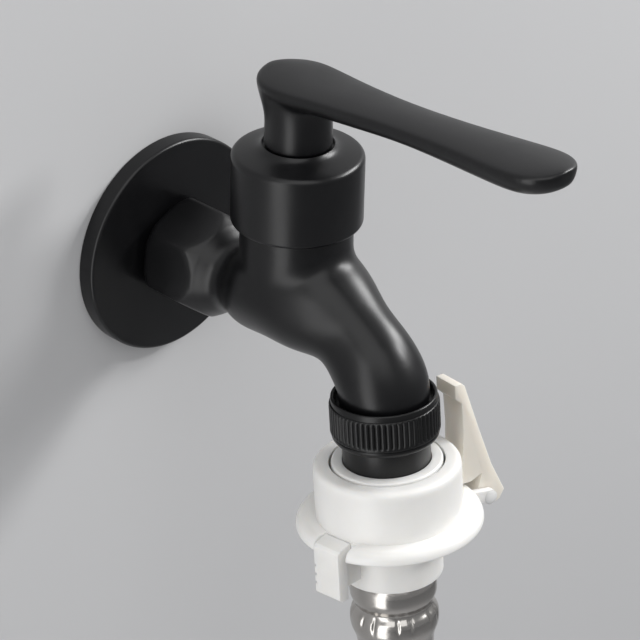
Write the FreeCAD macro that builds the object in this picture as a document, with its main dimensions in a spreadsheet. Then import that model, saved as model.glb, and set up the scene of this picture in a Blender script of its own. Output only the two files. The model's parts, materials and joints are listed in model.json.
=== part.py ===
import FreeCAD, Part
import Sketcher
import math
import os
import re

# Washing machine tap with knurled hose nozzle and quick connector.
# The wall is the plane Y = 0, the tap reaches out along -Y and +Z is up.
# The origin is the centre of the wall flange's back face, on the inlet axis.
# Heights and reaches are in millimetres and angles in degrees.

Vector = FreeCAD.Vector
Rotation = FreeCAD.Rotation
Placement = FreeCAD.Placement

doc = FreeCAD.newDocument("washing_machine_tap")

# Driving dimensions
DRIVING = {
    # wall flange
    "flange_radius": 30.0,
    "flange_depth": 4.9,
    "flange_wall": 1.0,
    "flange_edge_round": 0.7,
    "flange_hole_gap": 0.3,
    # inlet of the body, a G 1/2 thread of 20.955 mm
    "inlet_radius": 10.48,
    "inlet_length": 12.0,
    "inlet_chamfer": 1.2,
    "inlet_groove_start": 1.2,
    "inlet_groove_width": 1.2,
    "inlet_groove_depth": 0.8,
    "inlet_bore": 6.5,
    # wrench hexagon
    "hexagon_across": 26.4,
    "hexagon_back": 6.2,
    "hexagon_length": 14.1,
    "hexagon_turn": -7.0,
    "hexagon_chamfer": 2.2,
    "hexagon_cone_length": 7.1,
    "hexagon_neck_radius": 11.0,
    # spout, a bent taper from the neck to the outlet
    "neck_overlap": 0.3,
    "neck_radius": 10.6,
    "waist_gap": 3.1,
    "waist_rise": 0.2,
    "waist_radius": 9.9,
    "nape_gap": 10.7,
    "nape_rise": 3.6,
    "nape_radius": 13.7,
    "throat_setback": 2.1,
    "throat_rise": 4.8,
    "throat_climb": 9.2,
    "throat_handle": 46.9,
    "mouth_handle": 2.1,
    "crown_radius": 15.6,
    "shoulder_radius": 14.8,
    "elbow_radius": 12.8,
    "bend_radius": 11.0,
    "fall_radius": 11.3,
    "mouth_radius": 11.8,
    # nozzle axis: where it crosses the height of the inlet, and its outward tilt
    "nozzle_reach": 80.48,
    "nozzle_tilt": 5.88,
    # outlet, from the mouth down
    "mouth_depth": 11.6,
    "mouth_length": 2.8,
    "outlet_thread_radius": 10.48,
    "outlet_thread_length": 6.5,
    "outlet_bore": 6.0,
    # valve chamber
    "valve_reach": 49.74,
    "boss_radius": 14.6,
    "boss_blend": 6.0,
    "boss_foot": 6.0,
    "chamber_floor": 11.0,
    "chamber_depth": 22.0,
    "seat_bore": 4.6,
    "passage_run": 5.26,
    "passage_lift": 4.5,
    "passage_knee": 9.0,
    "passage_radius": 5.4,
    # bonnet cover
    "bonnet_radius": 17.0,
    "bonnet_lap": 8.05,
    "bonnet_height": 19.25,
    "bonnet_crown": 1.7,
    "bonnet_crown_radius": 9.2,
    "bonnet_wall": 1.7,
    "bonnet_edge_round": 0.9,
    "bonnet_seat_gap": 0.05,
    # cartridge
    "cartridge_gap": 0.08,
    "cartridge_sleeve_radius": 9.5,
    "cartridge_disc_radius": 8.3,
    "cartridge_thread_length": 9.0,
    "cartridge_hexagon_across": 21.0,
    "cartridge_hexagon_height": 5.0,
    "cartridge_neck_radius": 6.9,
    "cartridge_neck_rise": 0.4,
    "cartridge_window_width": 9.0,
    "cartridge_window_height": 5.5,
    "gasket_height": 1.0,
    "gasket_radius": 12.6,
    "seat_seal_height": 2.2,
    "disc_height": 2.5,
    "disc_port_inner": 2.2,
    "disc_port_outer": 6.6,
    "disc_port_angle": 80.0,
    "disc_slot_width": 3.0,
    "disc_slot_depth": 1.2,
    # spindle
    "spindle_flange_height": 3.0,
    "spindle_radius": 5.0,
    "spindle_clearance": 0.05,
    "o_ring_fit_gap": 0.02,
    "o_ring_wire": 1.4,
    "o_ring_rise": 6.8,
    "o_ring_spacing": 5.0,
    "clip_height": 0.8,
    "clip_radius": 6.3,
    "clip_opening": 60.0,
    "spline_radius": 4.0,
    "spline_depth": 0.45,
    "spline_teeth": 20.0,
    "spline_rise": 1.9,
    "spline_length": 9.5,
    # stem and head of the lever
    "stem_radius": 8.5,
    "stem_foot_radius": 8.9,
    "stem_foot_height": 2.2,
    "stem_gap": 0.3,
    "stem_recess_radius": 7.5,
    "stem_recess_height": 1.2,
    "socket_gap": 0.05,
    "socket_end_gap": 1.0,
    "head_radius": 10.6,
    "head_rise": 18.4,
    "head_flare_rise": 5.3,
    "head_flare_lean": 1.7,
    "head_flare_growth": 0.9,
    # lever, in runs from the stem to the tip, with the lift of its top edge over each
    "lever_waist_run": 38.0,
    "lever_waist_width": 14.4,
    "lever_waist_lift": 2.0,
    "lever_paddle_run": 36.0,
    "lever_paddle_width": 18.6,
    "lever_paddle_lift": 2.4,
    "lever_tip_run": 12.5,
    "lever_tip_lift": 0.9,
    "lever_crown": 1.0,
    "lever_thickness": 5.0,
    "handle_screw_radius": 2.0,
    "handle_screw_rise": 5.3,
    "handle_screw_socket": 2.0,
    # hose nozzle, lengths down the nozzle axis
    "nozzle_rim_drop": 1.0,
    "nozzle_rim_radius": 13.6,
    "nozzle_radius": 14.2,
    "nozzle_rim_gap": 0.75,
    "nozzle_seat_drop": 0.6,
    "nozzle_thread_gap": 0.06,
    "nozzle_gasket_height": 1.7,
    "knurl_drop": 2.2,
    "knurl_length": 7.0,
    "knurl_depth": 0.35,
    "knurl_ridges": 60.0,
    "nozzle_groove_drop": 0.6,
    "nozzle_groove_width": 0.5,
    "nozzle_foot_band": 1.7,
    "nozzle_foot_round": 1.3,
    "nipple_radius": 11.4,
    "nipple_bore": 6.0,
    "nipple_length": 14.4,
    "nipple_groove_depth": 1.0,
    "nipple_land": 2.4,
    "nipple_tip_radius": 10.4,
    "nipple_tip_length": 9.4,
    # quick connector
    "connector_turn": 10.0,
    "nipple_gap": 0.2,
    "cage_radius": 14.45,
    "cage_rim_lift": 7.8,
    "cage_bore_drop": 2.5,
    "cage_lap": 1.7,
    "cage_rim_round": 0.6,
    "ball_radius": 2.0,
    "ball_gap": 0.12,
    "ball_travel": 1.0,
    "collar_travel": 4.0,
    "tube_radius": 12.4,
    "tube_gap": 0.05,
    "tube_length": 8.3,
    "coupler_radius": 13.4,
    "coupler_length": 12.7,
    "coupler_foot_round": 0.6,
    "seal_height": 2.2,
    "seal_gap": 0.2,
    "seal_bore": 6.2,
    # sliding collar
    "collar_radius": 19.2,
    "collar_rim_drop": 0.5,
    "collar_rim_round": 2.8,
    "collar_lip_radius": 15.1,
    "collar_lip_height": 1.5,
    "collar_rib_drop": 0.2,
    "collar_rib_height": 0.8,
    "collar_rib_radius": 12.75,
    "collar_skirt_bore": 14.3,
    "collar_flange_radius": 24.4,
    "collar_flange_drop": 2.0,
    "collar_flange_height": 3.5,
    "collar_flange_edge": 0.6,
    "collar_skirt_radius": 16.6,
    "collar_skirt_height": 2.1,
    "notch_radius": 19.2,
    "notch_side_gap": 0.3,
    "notch_front_gap": 2.1,
    "spring_wire": 0.8,
    "spring_gap": 0.1,
    "spring_turns": 3.0,
    # grip tab of the coupler body
    "tab_turn": 11.0,
    "tab_radius": 21.0,
    "tab_thickness": 3.2,
    "tab_width": 8.4,
    "tab_drop": 1.1,
    "tab_length": 14.6,
    "tab_corner": 0.8,
    "tab_head_height": 3.4,
    "tab_web_drop": 0.2,
    "tab_web_inset": 1.4,
    "tab_web_width": 3.0,
    "tab_groove_drop": 5.9,
    "tab_groove_depth": 0.5,
    "tab_groove_width": 0.8,
    "tab_groove_pitch": 2.5,
    "tab_grooves": 3,
    # latch lever, distances from the connector axis
    "latch_width": 8.0,
    "latch_pivot_radius": 28.3,
    "latch_pivot_drop": 0.9,
    "latch_pin_radius": 1.0,
    "latch_pin_gap": 0.06,
    "latch_side_gap": 0.3,
    "latch_ear_width": 2.0,
    "latch_ear_radius": 2.1,
    "latch_length": 34.7,
    "latch_hook_height": 3.7,
    "latch_hook_reach": 8.7,
    "latch_back_inset": 5.5,
    "latch_inner_inset": 6.7,
    "latch_heel_outset": 6.3,
    "latch_heel_drop": 0.6,
    "latch_foot_drop": 3.8,
    "latch_rest_gap": 1.2,
    # hose end
    "barb_head_radius": 9.0,
    "barb_head_height": 2.0,
    "barb_shank_radius": 6.4,
    "barb_gap": 0.1,
    "barb_bore": 4.6,
    "barb_tail": 22.5,
    "barb_ridge_radius": 7.1,
    "barb_ridge_pitch": 4.2,
    "barb_o_ring_lift": 4.7,
    "barb_o_ring_wire": 1.1,
    "ferrule_gap": 0.3,
    "ferrule_wall": 0.6,
    "ferrule_hole": 6.7,
    "ferrule_bulge_radius": 11.5,
    "ferrule_bulge_drop": 4.1,
    "ferrule_neck_radius": 10.2,
    "ferrule_neck_drop": 4.6,
    "ferrule_crimp_radius": 11.7,
    "ferrule_crimp_drop": 4.8,
    "ferrule_waist_radius": 10.0,
    "ferrule_waist_drop": 7.0,
    "ferrule_mouth_length": 4.5,
}

# Heights over the inlet axis, reaches from the wall and depths below the nozzle's origin,
# each worked out from the lengths above
DERIVED = {
    # body
    "hexagon_front": "hexagon_back + hexagon_length",
    "hexagon_cone_end": "hexagon_front + hexagon_cone_length",
    "neck_reach": "hexagon_cone_end - neck_overlap",
    "waist_reach": "hexagon_cone_end + waist_gap",
    "nape_reach": "hexagon_cone_end + nape_gap",
    "throat_reach": "hexagon_cone_end - throat_setback",
    "mouth_foot": "mouth_depth + mouth_length",
    "outlet_thread_foot": "mouth_foot + outlet_thread_length",
    "boss_top": "chamber_floor + chamber_depth",
    "passage_start_reach": "valve_reach + passage_run",
    "passage_start_rise": "chamber_floor + passage_lift",
    # bonnet, cartridge and spindle
    "bonnet_bottom": "boss_top - bonnet_lap",
    "bonnet_rim": "bonnet_bottom + bonnet_height",
    "cartridge_thread_foot": "boss_top - cartridge_thread_length",
    "cartridge_neck_top": "bonnet_rim + cartridge_neck_rise",
    "fixed_disc_foot": "chamber_floor + seat_seal_height",
    "rotating_disc_foot": "fixed_disc_foot + disc_height",
    "spindle_flange_foot": "rotating_disc_foot + disc_height",
    "spindle_shoulder": "spindle_flange_foot + spindle_flange_height",
    "hexagon_seat": "boss_top + gasket_height",
    "lower_o_ring_height": "spindle_shoulder + o_ring_rise",
    "upper_o_ring_height": "lower_o_ring_height + o_ring_spacing",
    "spline_bottom": "cartridge_neck_top + spline_rise",
    "spline_top": "spline_bottom + spline_length",
    # lever handle
    "stem_foot": "bonnet_rim + bonnet_crown + stem_gap",
    "socket_top": "spline_top + socket_end_gap",
    "head_height": "stem_foot + head_rise",
    "head_flare_start": "stem_foot + head_flare_rise",
    "handle_screw_height": "stem_foot + handle_screw_rise",
    "lever_waist_height": "head_height + lever_waist_lift",
    "lever_paddle_reach": "lever_waist_run + lever_paddle_run",
    "lever_paddle_height": "lever_waist_height + lever_paddle_lift",
    "lever_tip_reach": "lever_paddle_reach + lever_tip_run",
    "lever_tip_height": "lever_paddle_height + lever_tip_lift",
    # hose nozzle
    "nozzle_rim": "mouth_depth + nozzle_rim_drop",
    "nozzle_rim_floor": "mouth_foot + nozzle_seat_drop",
    "nozzle_thread_floor": "outlet_thread_foot + nozzle_gasket_height",
    "knurl_top": "nozzle_rim + knurl_drop",
    "knurl_foot": "knurl_top + knurl_length",
    "nozzle_groove_depth": "knurl_foot + nozzle_groove_drop",
    "nozzle_foot": "nozzle_groove_depth + nozzle_groove_width + nozzle_foot_band",
    "ball_depth": "nozzle_foot + nipple_length",
    "nipple_step": "ball_depth + nipple_land",
    "nipple_tip": "nipple_step + nipple_tip_length",
    # quick connector
    "cage_rim": "ball_depth - cage_rim_lift",
    "cage_counterbore": "ball_depth + cage_bore_drop",
    "cage_foot": "cage_counterbore + cage_lap",
    "coupler_step": "cage_foot + tube_length",
    "coupler_foot": "coupler_step + coupler_length",
    "socket_floor": "nipple_tip + seal_height + seal_gap",
    "collar_rim": "cage_rim + collar_rim_drop",
    "collar_lip_foot": "collar_rim + collar_lip_height",
    "collar_rib_top": "cage_foot + collar_rib_drop",
    "collar_rib_foot": "collar_rib_top + collar_rib_height",
    "collar_flange_top": "collar_rib_foot + collar_flange_drop",
    "collar_flange_foot": "collar_flange_top + collar_flange_height",
    "collar_skirt_foot": "collar_flange_foot + collar_skirt_height",
    "collar_flange_round": "0.54 * (collar_flange_radius - collar_radius)",
    "tab_head_radius": "notch_radius + notch_side_gap",
    "tab_head_top": "collar_flange_top + notch_side_gap",
    "tab_top": "collar_flange_top + tab_drop",
    "tab_foot": "tab_top + tab_length",
    "tab_web_top": "coupler_step + tab_web_drop",
    "tab_web_foot": "tab_foot - tab_web_inset",
    "latch_hook_radius": "latch_pivot_radius - latch_hook_reach",
    "latch_back_radius": "latch_pivot_radius - latch_back_inset",
    "latch_inner_radius": "latch_pivot_radius - latch_inner_inset",
    "latch_heel_radius": "latch_pivot_radius + latch_heel_outset",
    "latch_pivot_depth": "collar_flange_foot + latch_pivot_drop",
    "latch_heel_depth": "latch_pivot_depth + latch_heel_drop",
    "latch_foot_depth": "latch_pivot_depth + latch_foot_drop",
    "latch_hook_top": "latch_pivot_depth - latch_length",
    "latch_hook_foot": "latch_hook_top + latch_hook_height",
    # hose end
    "barb_o_ring_depth": "coupler_foot - barb_o_ring_lift",
    "ferrule_top": "coupler_foot + ferrule_gap",
    "barb_tip": "ferrule_top + barb_tail",
    "ferrule_bulge_depth": "ferrule_top + ferrule_bulge_drop",
    "ferrule_neck_depth": "ferrule_bulge_depth + ferrule_neck_drop",
    "ferrule_crimp_depth": "ferrule_neck_depth + ferrule_crimp_drop",
    "ferrule_waist_depth": "ferrule_crimp_depth + ferrule_waist_drop",
    "ferrule_foot": "ferrule_waist_depth + ferrule_mouth_length",
}

sizes = doc.addObject("Spreadsheet::Sheet", "Sizes")
rows = list(DRIVING.items()) + [(alias, "=" + formula) for alias, formula in DERIVED.items()]
for row, (alias, value) in enumerate(rows, start=1):
    sizes.set(f"A{row}", alias)
    sizes.set(f"B{row}", str(value))
    sizes.setAlias(f"B{row}", alias)
doc.recompute()


def bind(expression):
    """Point every size named in an expression at its cell of the sheet."""
    return re.sub(r"\b([a-z]+(?:_[a-z]+)+)\b", r"Sizes.\1", expression)


def size(expression):
    """The present value of an expression of named sizes."""
    value = sizes.evalExpression(bind(expression))
    return float(getattr(value, "Value", value))


def new_body(label, placement=None):
    """An empty body for one piece, named after it."""
    body = doc.addObject("PartDesign::Body", label)
    body.Label = label
    if placement is not None:
        body.Placement = placement
    return body


def attach(body, sketch, plane, offset=None):
    """Lay a sketch on one of the body's own origin planes."""
    origin_plane = next(f for f in body.Origin.OriginFeatures if f.Role == plane)
    sketch.AttachmentSupport = [(origin_plane, "")]
    sketch.MapMode = "FlatFace"
    if offset is not None:
        sketch.AttachmentOffset = offset


def pin_point(sketch, geometry, end, x, y):
    """Hold one end of a line or arc at the place that two expressions give."""
    for axis, expression, line in (("DistanceX", x, -2), ("DistanceY", y, -1)):
        value = size(expression)
        if abs(value) < 1e-9:
            sketch.addConstraint(Sketcher.Constraint("PointOnObject", geometry, end, line))
            continue
        index = sketch.addConstraint(Sketcher.Constraint(axis, -1, 1, geometry, end, value))
        sketch.setExpression(f"Constraints[{index}]", bind(expression))


def edge_between(start, end, bow):
    """A line, or an arc that bows to the left of its travel, and the number of its first end."""
    if bow == 0:
        return Part.LineSegment(start, end), 1
    along = end - start
    left = Vector(-along.y, along.x, 0).normalize()
    middle = (start + end) * 0.5 + left * bow
    if bow < 0:
        return Part.Arc(start, middle, end), 1
    return Part.Arc(end, middle, start), 2


def hold_arc(sketch, geometry, radius, chord):
    """Hold an arc whose ends are held: a half circle by its centre, others by their radius."""
    if radius < chord * 0.5001:
        sketch.addConstraint(Sketcher.Constraint("Symmetric", geometry, 1, geometry, 2, geometry, 3))
    else:
        sketch.addConstraint(Sketcher.Constraint("Radius", geometry, radius))


def outline(body, name, plane, corners, bows=None, offset=None, sketch=None):
    """A closed outline of lines and arcs. Each corner is a pair of expressions."""
    bows = bows or {}
    if sketch is None:
        sketch = body.newObject("Sketcher::SketchObject", name)
        attach(body, sketch, plane, offset)
    points = [Vector(size(x), size(y), 0) for x, y in corners]
    first = len(sketch.Geometry)
    count = len(points)
    ends = []
    for index in range(count):
        bow = size(bows[index]) if index in bows else 0
        edge, start = edge_between(points[index], points[(index + 1) % count], bow)
        sketch.addGeometry(edge, False)
        ends.append((start, 3 - start))
        if bow:
            chord = (points[(index + 1) % count] - points[index]).Length
            radius = chord * chord / (8 * abs(bow)) + abs(bow) / 2
            hold_arc(sketch, first + index, radius, chord)
    for index in range(count):
        follower = (index + 1) % count
        sketch.addConstraint(Sketcher.Constraint(
            "Coincident", first + index, ends[index][1], first + follower, ends[follower][0]))
    for index, (x, y) in enumerate(corners):
        pin_point(sketch, first + index, ends[index][0], x, y)
    return sketch


def circle(body, name, plane, radius, x="0", y="0", offset=None, sketch=None):
    """A circle whose radius and centre are expressions."""
    if sketch is None:
        sketch = body.newObject("Sketcher::SketchObject", name)
        attach(body, sketch, plane, offset)
    centre = Vector(size(x), size(y), 0)
    index = sketch.addGeometry(Part.Circle(centre, Vector(0, 0, 1), size(radius)), False)
    constraint = sketch.addConstraint(Sketcher.Constraint("Radius", index, size(radius)))
    sketch.setExpression(f"Constraints[{constraint}]", bind(radius))
    pin_point(sketch, index, 3, x, y)
    return sketch


def turned(body, name, corners, bows=None, cut=False, axis="V_Axis", plane="XZ_Plane"):
    """A full turn of an outline of radius and height, added to the body or cut from it."""
    sketch = outline(body, name + "_profile", plane, corners, bows)
    kind = "PartDesign::Groove" if cut else "PartDesign::Revolution"
    feature = body.newObject(kind, name)
    feature.Profile = sketch
    feature.ReferenceAxis = (sketch, [axis])
    feature.Angle = 360
    doc.recompute()
    return feature


def padded(body, name, sketch, length, both_ways=False, reverse=False):
    """A sketch thickened to a length."""
    feature = body.newObject("PartDesign::Pad", name)
    feature.Profile = sketch
    feature.setExpression("Length", bind(length))
    feature.Midplane = both_ways
    feature.Reversed = reverse
    doc.recompute()
    return feature


def pocketed(body, name, sketch, length, both_ways=False, reverse=False):
    """A sketch cut away over a length. It has to take something off."""
    before = body.Shape.Volume
    feature = body.newObject("PartDesign::Pocket", name)
    feature.Profile = sketch
    feature.setExpression("Length", bind(length))
    feature.Midplane = both_ways
    feature.Reversed = reverse
    doc.recompute()
    if not body.Shape.Volume < before - 1e-6:
        raise RuntimeError(f"{name} cuts nothing")
    return feature


def repeated(body, name, feature, count, axis_sketch, axis="V_Axis"):
    """Copies of a feature spaced evenly round an axis."""
    pattern = body.newObject("PartDesign::PolarPattern", name)
    pattern.Originals = [feature]
    pattern.Axis = (axis_sketch, [axis])
    pattern.Angle = 360
    pattern.setExpression("Occurrences", bind(count))
    body.Tip = pattern
    doc.recompute()
    return pattern


def ring_edges(shape, places):
    """Names of the round edges at the given radii and heights about the Z axis."""
    wanted = [(size(radius), size(height)) for radius, height in places]
    names = []
    for number, edge in enumerate(shape.Edges, start=1):
        curve = edge.Curve
        if not isinstance(curve, Part.Circle):
            continue
        for radius, height in wanted:
            if abs(curve.Radius - radius) < 1e-4 and abs(curve.Center.z - height) < 1e-4:
                names.append(f"Edge{number}")
    return names


def rounded(body, name, feature, places, radius, kind="PartDesign::Fillet"):
    """A fillet or chamfer on round edges about the Z axis."""
    names = ring_edges(feature.Shape, places)
    if not names:
        raise RuntimeError(f"{name} finds no edge")
    edge_round = body.newObject(kind, name)
    edge_round.Base = (feature, names)
    edge_round.setExpression("Size" if kind.endswith("Chamfer") else "Radius", bind(radius))
    doc.recompute()
    if "Invalid" in edge_round.State:
        raise RuntimeError(f"{name} has no room for its radius")
    return edge_round


def blended(body, name, feature, pillar, radius):
    """A fillet where an upright round pillar of a given radius meets a lofted form."""
    wanted = size(pillar)
    names = []
    for number, edge in enumerate(feature.Shape.Edges, start=1):
        surfaces = [face.Surface for face in feature.Shape.ancestorsOfType(edge, Part.Face)]
        pillars = [s for s in surfaces if isinstance(s, Part.Cylinder) and abs(s.Radius - wanted) < 1e-6]
        if pillars and any(isinstance(s, Part.BSplineSurface) for s in surfaces):
            names.append(f"Edge{number}")
    blend = body.newObject("PartDesign::Fillet", name)
    blend.Base = (feature, names)
    blend.setExpression("Radius", bind(radius))
    doc.recompute()
    if not names or "Invalid" in blend.State:
        raise RuntimeError(f"{name} finds no place")
    return blend


def lifted(height, turn=0):
    """A plane parallel to the ground at a height, turned about the vertical."""
    return Placement(Vector(0, 0, height), Rotation(Vector(0, 0, 1), turn))


# Frames of the valve, the nozzle and the connector, and the turn of the grip tab's side outline
valve_frame = Placement(Vector(0, -size("valve_reach"), 0), Rotation())
nozzle_frame = Placement(
    Vector(0, -size("nozzle_reach"), 0),
    Rotation(Vector(1, 0, 0), -size("nozzle_tilt")))
connector_frame = nozzle_frame.multiply(
    Placement(Vector(), Rotation(Vector(0, 0, 1), -size("connector_turn"))))

tab_plane = Placement(Vector(), Rotation(Vector(0, 1, 0), size("tab_turn")))


def make_wall_flange():
    """A pressed cup: its rim stands on the wall and its disc has the inlet's hole."""
    tilt = Placement(Vector(), Rotation(Vector(1, 0, 0), 90))
    body = new_body("wall_flange", tilt)
    shell = turned(body, "shell", [
        ("inlet_radius + flange_hole_gap", "flange_depth - flange_wall"),
        ("flange_radius - flange_wall", "flange_depth - flange_wall"),
        ("flange_radius - flange_wall", "0"),
        ("flange_radius", "0"),
        ("flange_radius", "flange_depth"),
        ("inlet_radius + flange_hole_gap", "flange_depth"),
    ])
    rounded(body, "edge", shell, [("flange_radius", "flange_depth")], "flange_edge_round")
    return body


def bezier_point(points, share):
    """A point of the cubic curve that four points give."""
    rest = 1 - share
    weights = (rest ** 3, 3 * rest * rest * share, 3 * rest * share * share, share ** 3)
    total = Vector()
    for weight, point in zip(weights, points):
        total = total + point * weight
    return total


def bezier_heading(points, share):
    """The direction of travel along the same curve."""
    rest = 1 - share
    weights = (rest * rest, 2 * rest * share, share * share)
    total = Vector()
    for weight, start, end in zip(weights, points, points[1:]):
        total = total + (end - start) * weight
    return total.normalize()


nozzle_down = nozzle_frame.Rotation.multVec(Vector(0, 0, -1))
mouth_point = nozzle_frame.multVec(Vector(0, 0, -size("mouth_depth")))
throat_point = Vector(0, -size("throat_reach"), size("throat_rise"))
throat_heading = Vector(0, -math.cos(math.radians(size("throat_climb"))),
                        math.sin(math.radians(size("throat_climb"))))
spout_curve = [
    throat_point,
    throat_point + throat_heading * size("throat_handle"),
    mouth_point - nozzle_down * size("mouth_handle"),
    mouth_point,
]


def across(point, heading):
    """The plane through a point of the symmetry plane, square to a heading."""
    turn = math.degrees(math.atan2(-heading.y, heading.z))
    return Placement(point, Rotation(Vector(1, 0, 0), turn))


def lofted(body, name, sections, cut=False):
    """A smooth form through round sections, each a plane and a radius."""
    sketches = []
    for number, (plane, radius) in enumerate(sections, start=1):
        sketches.append(circle(body, f"{name}_{number}", "XY_Plane", radius, offset=plane))
    kind = "PartDesign::SubtractiveLoft" if cut else "PartDesign::AdditiveLoft"
    loft = body.newObject(kind, name)
    loft.Profile = sketches[0]
    loft.Sections = sketches[1:]
    loft.Ruled = False
    doc.recompute()
    return loft


def spout_sections():
    """Round sections from the neck at the hexagon, over its waist, down to the mouth."""
    sections = []
    for name, rise in (("neck", 0), ("waist", size("waist_rise")), ("nape", size("nape_rise"))):
        centre = Vector(0, -size(name + "_reach"), rise)
        sections.append((across(centre, Vector(0, -1, 0)), name + "_radius"))
    stations = (
        (0.2, "crown_radius"),
        (0.3, "shoulder_radius"),
        (0.4, "elbow_radius"),
        (0.5, "bend_radius"),
        (0.65, "fall_radius"),
        (1.0, "mouth_radius"),
    )
    for share, radius in stations:
        plane = across(bezier_point(spout_curve, share), bezier_heading(spout_curve, share))
        sections.append((plane, radius))
    foot = nozzle_frame.multVec(Vector(0, 0, -size("mouth_foot")))
    sections.append((across(foot, nozzle_down), "mouth_radius"))
    return sections


def outlet_passage():
    """Round sections of the water's way from the chamber's side to the outlet."""
    start = Vector(0, -size("passage_start_reach"), size("passage_start_rise"))
    outlet = nozzle_frame.multVec(Vector(0, 0, -size("outlet_thread_foot") - 0.5))
    knee = bezier_point(spout_curve, 0.5)
    curve = [start, knee + Vector(0, 0, size("passage_knee")), mouth_point - nozzle_down * 8, outlet]
    sections = []
    for share in (0.0, 0.3, 0.55, 0.8, 1.0):
        plane = across(bezier_point(curve, share), bezier_heading(curve, share))
        sections.append((plane, "passage_radius"))
    return sections


def hexagon_corners(across_flats, turn="0"):
    """Six corners of a hexagon, from its size across the flats."""
    corners = []
    for number in range(6):
        angle = f"({turn} + {60 * number + 30})"
        corners.append((f"{across_flats} / sqrt(3) * cos{angle}",
                        f"{across_flats} / sqrt(3) * sin{angle}"))
    return corners


def make_tap_body():
    """Inlet thread, wrench hexagon, valve boss and bent spout in one casting."""
    body = new_body("tap_body")
    lofted(body, "spout", spout_sections())
    boss = circle(body, "boss_outline", "XY_Plane", "boss_radius", y="-valve_reach",
                  offset=lifted(size("boss_foot")))
    upright = padded(body, "boss", boss, "boss_top - boss_foot")
    blended(body, "boss_blend_round", upright, "boss_radius", "boss_blend")
    outward = Placement(Vector(0, -size("hexagon_back"), 0), Rotation(Vector(1, 0, 0), 90))
    hexagon = outline(body, "hexagon_outline", "XY_Plane",
                      hexagon_corners("hexagon_across", "hexagon_turn"), offset=outward)
    padded(body, "hexagon", hexagon, "hexagon_cone_end - hexagon_back")
    turned(body, "hexagon_cone", [
        ("hexagon_across", "-hexagon_front"),
        ("hexagon_across / sqrt(3) + 0.1", "-hexagon_front"),
        ("hexagon_neck_radius", "-hexagon_cone_end"),
        ("hexagon_across", "-hexagon_cone_end"),
    ], cut=True, plane="XY_Plane")
    turned(body, "hexagon_back_chamfer", [
        ("hexagon_across / 2 + 0.2", "-hexagon_back"),
        ("hexagon_across", "-hexagon_back"),
        ("hexagon_across", "-hexagon_back - hexagon_chamfer"),
        ("hexagon_across / sqrt(3) + 0.1", "-hexagon_back - hexagon_chamfer"),
    ], cut=True, plane="XY_Plane")
    turned(body, "inlet", [
        ("0", "inlet_length"),
        ("inlet_radius - inlet_chamfer", "inlet_length"),
        ("inlet_radius", "inlet_length - inlet_chamfer"),
        ("inlet_radius", "-inlet_groove_start"),
        ("inlet_radius - inlet_groove_depth", "-inlet_groove_start"),
        ("inlet_radius - inlet_groove_depth", "-inlet_groove_start - inlet_groove_width"),
        ("inlet_radius", "-inlet_groove_start - inlet_groove_width"),
        ("inlet_radius", "-hexagon_back - 1"),
        ("0", "-hexagon_back - 1"),
    ], plane="XY_Plane")
    stub = circle(body, "outlet_outline", "XY_Plane", "outlet_thread_radius",
                  offset=nozzle_frame.multiply(lifted(-size("outlet_thread_foot"))))
    padded(body, "outlet", stub, "outlet_thread_foot - mouth_foot + 1")
    bore = circle(body, "inlet_bore_outline", "XZ_Plane", "inlet_bore",
                  offset=lifted(-size("inlet_length") - 1))
    pocketed(body, "inlet_bore", bore, "inlet_length + valve_reach + inlet_bore + 1",
             reverse=True)
    chamber = circle(body, "chamber_outline", "XY_Plane", "inlet_radius + cartridge_gap",
                     y="-valve_reach", offset=lifted(size("boss_top") + 1))
    pocketed(body, "chamber", chamber, "boss_top + 1 - chamber_floor")
    seat = circle(body, "seat_outline", "XY_Plane", "seat_bore", y="-valve_reach",
                  offset=lifted(size("chamber_floor") + 1))
    pocketed(body, "seat", seat, "chamber_floor + 1")
    lofted(body, "outlet_passage", outlet_passage(), cut=True)
    return body


def make_bonnet_cover():
    """A turned cap with a low cone on top, screwed on the valve boss."""
    body = new_body("bonnet_cover", valve_frame)
    inner = "bonnet_radius - bonnet_wall"
    seat = "boss_radius + bonnet_seat_gap"
    cap = turned(body, "cap", [
        (seat, "bonnet_bottom"),
        ("bonnet_radius", "bonnet_bottom"),
        ("bonnet_radius", "bonnet_rim"),
        ("bonnet_crown_radius", "bonnet_rim + bonnet_crown"),
        ("cartridge_neck_radius + 0.3", "bonnet_rim + bonnet_crown"),
        ("cartridge_neck_radius + 0.3", "bonnet_rim + bonnet_crown - bonnet_wall"),
        ("bonnet_crown_radius", "bonnet_rim + bonnet_crown - bonnet_wall"),
        (inner, "bonnet_rim - bonnet_wall"),
        (inner, "boss_top + 0.5"),
        (seat, "boss_top + 0.5"),
    ])
    rounded(body, "edges", cap, [
        ("bonnet_radius", "bonnet_bottom"),
        ("bonnet_radius", "bonnet_rim"),
    ], "bonnet_edge_round")
    return body


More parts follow.
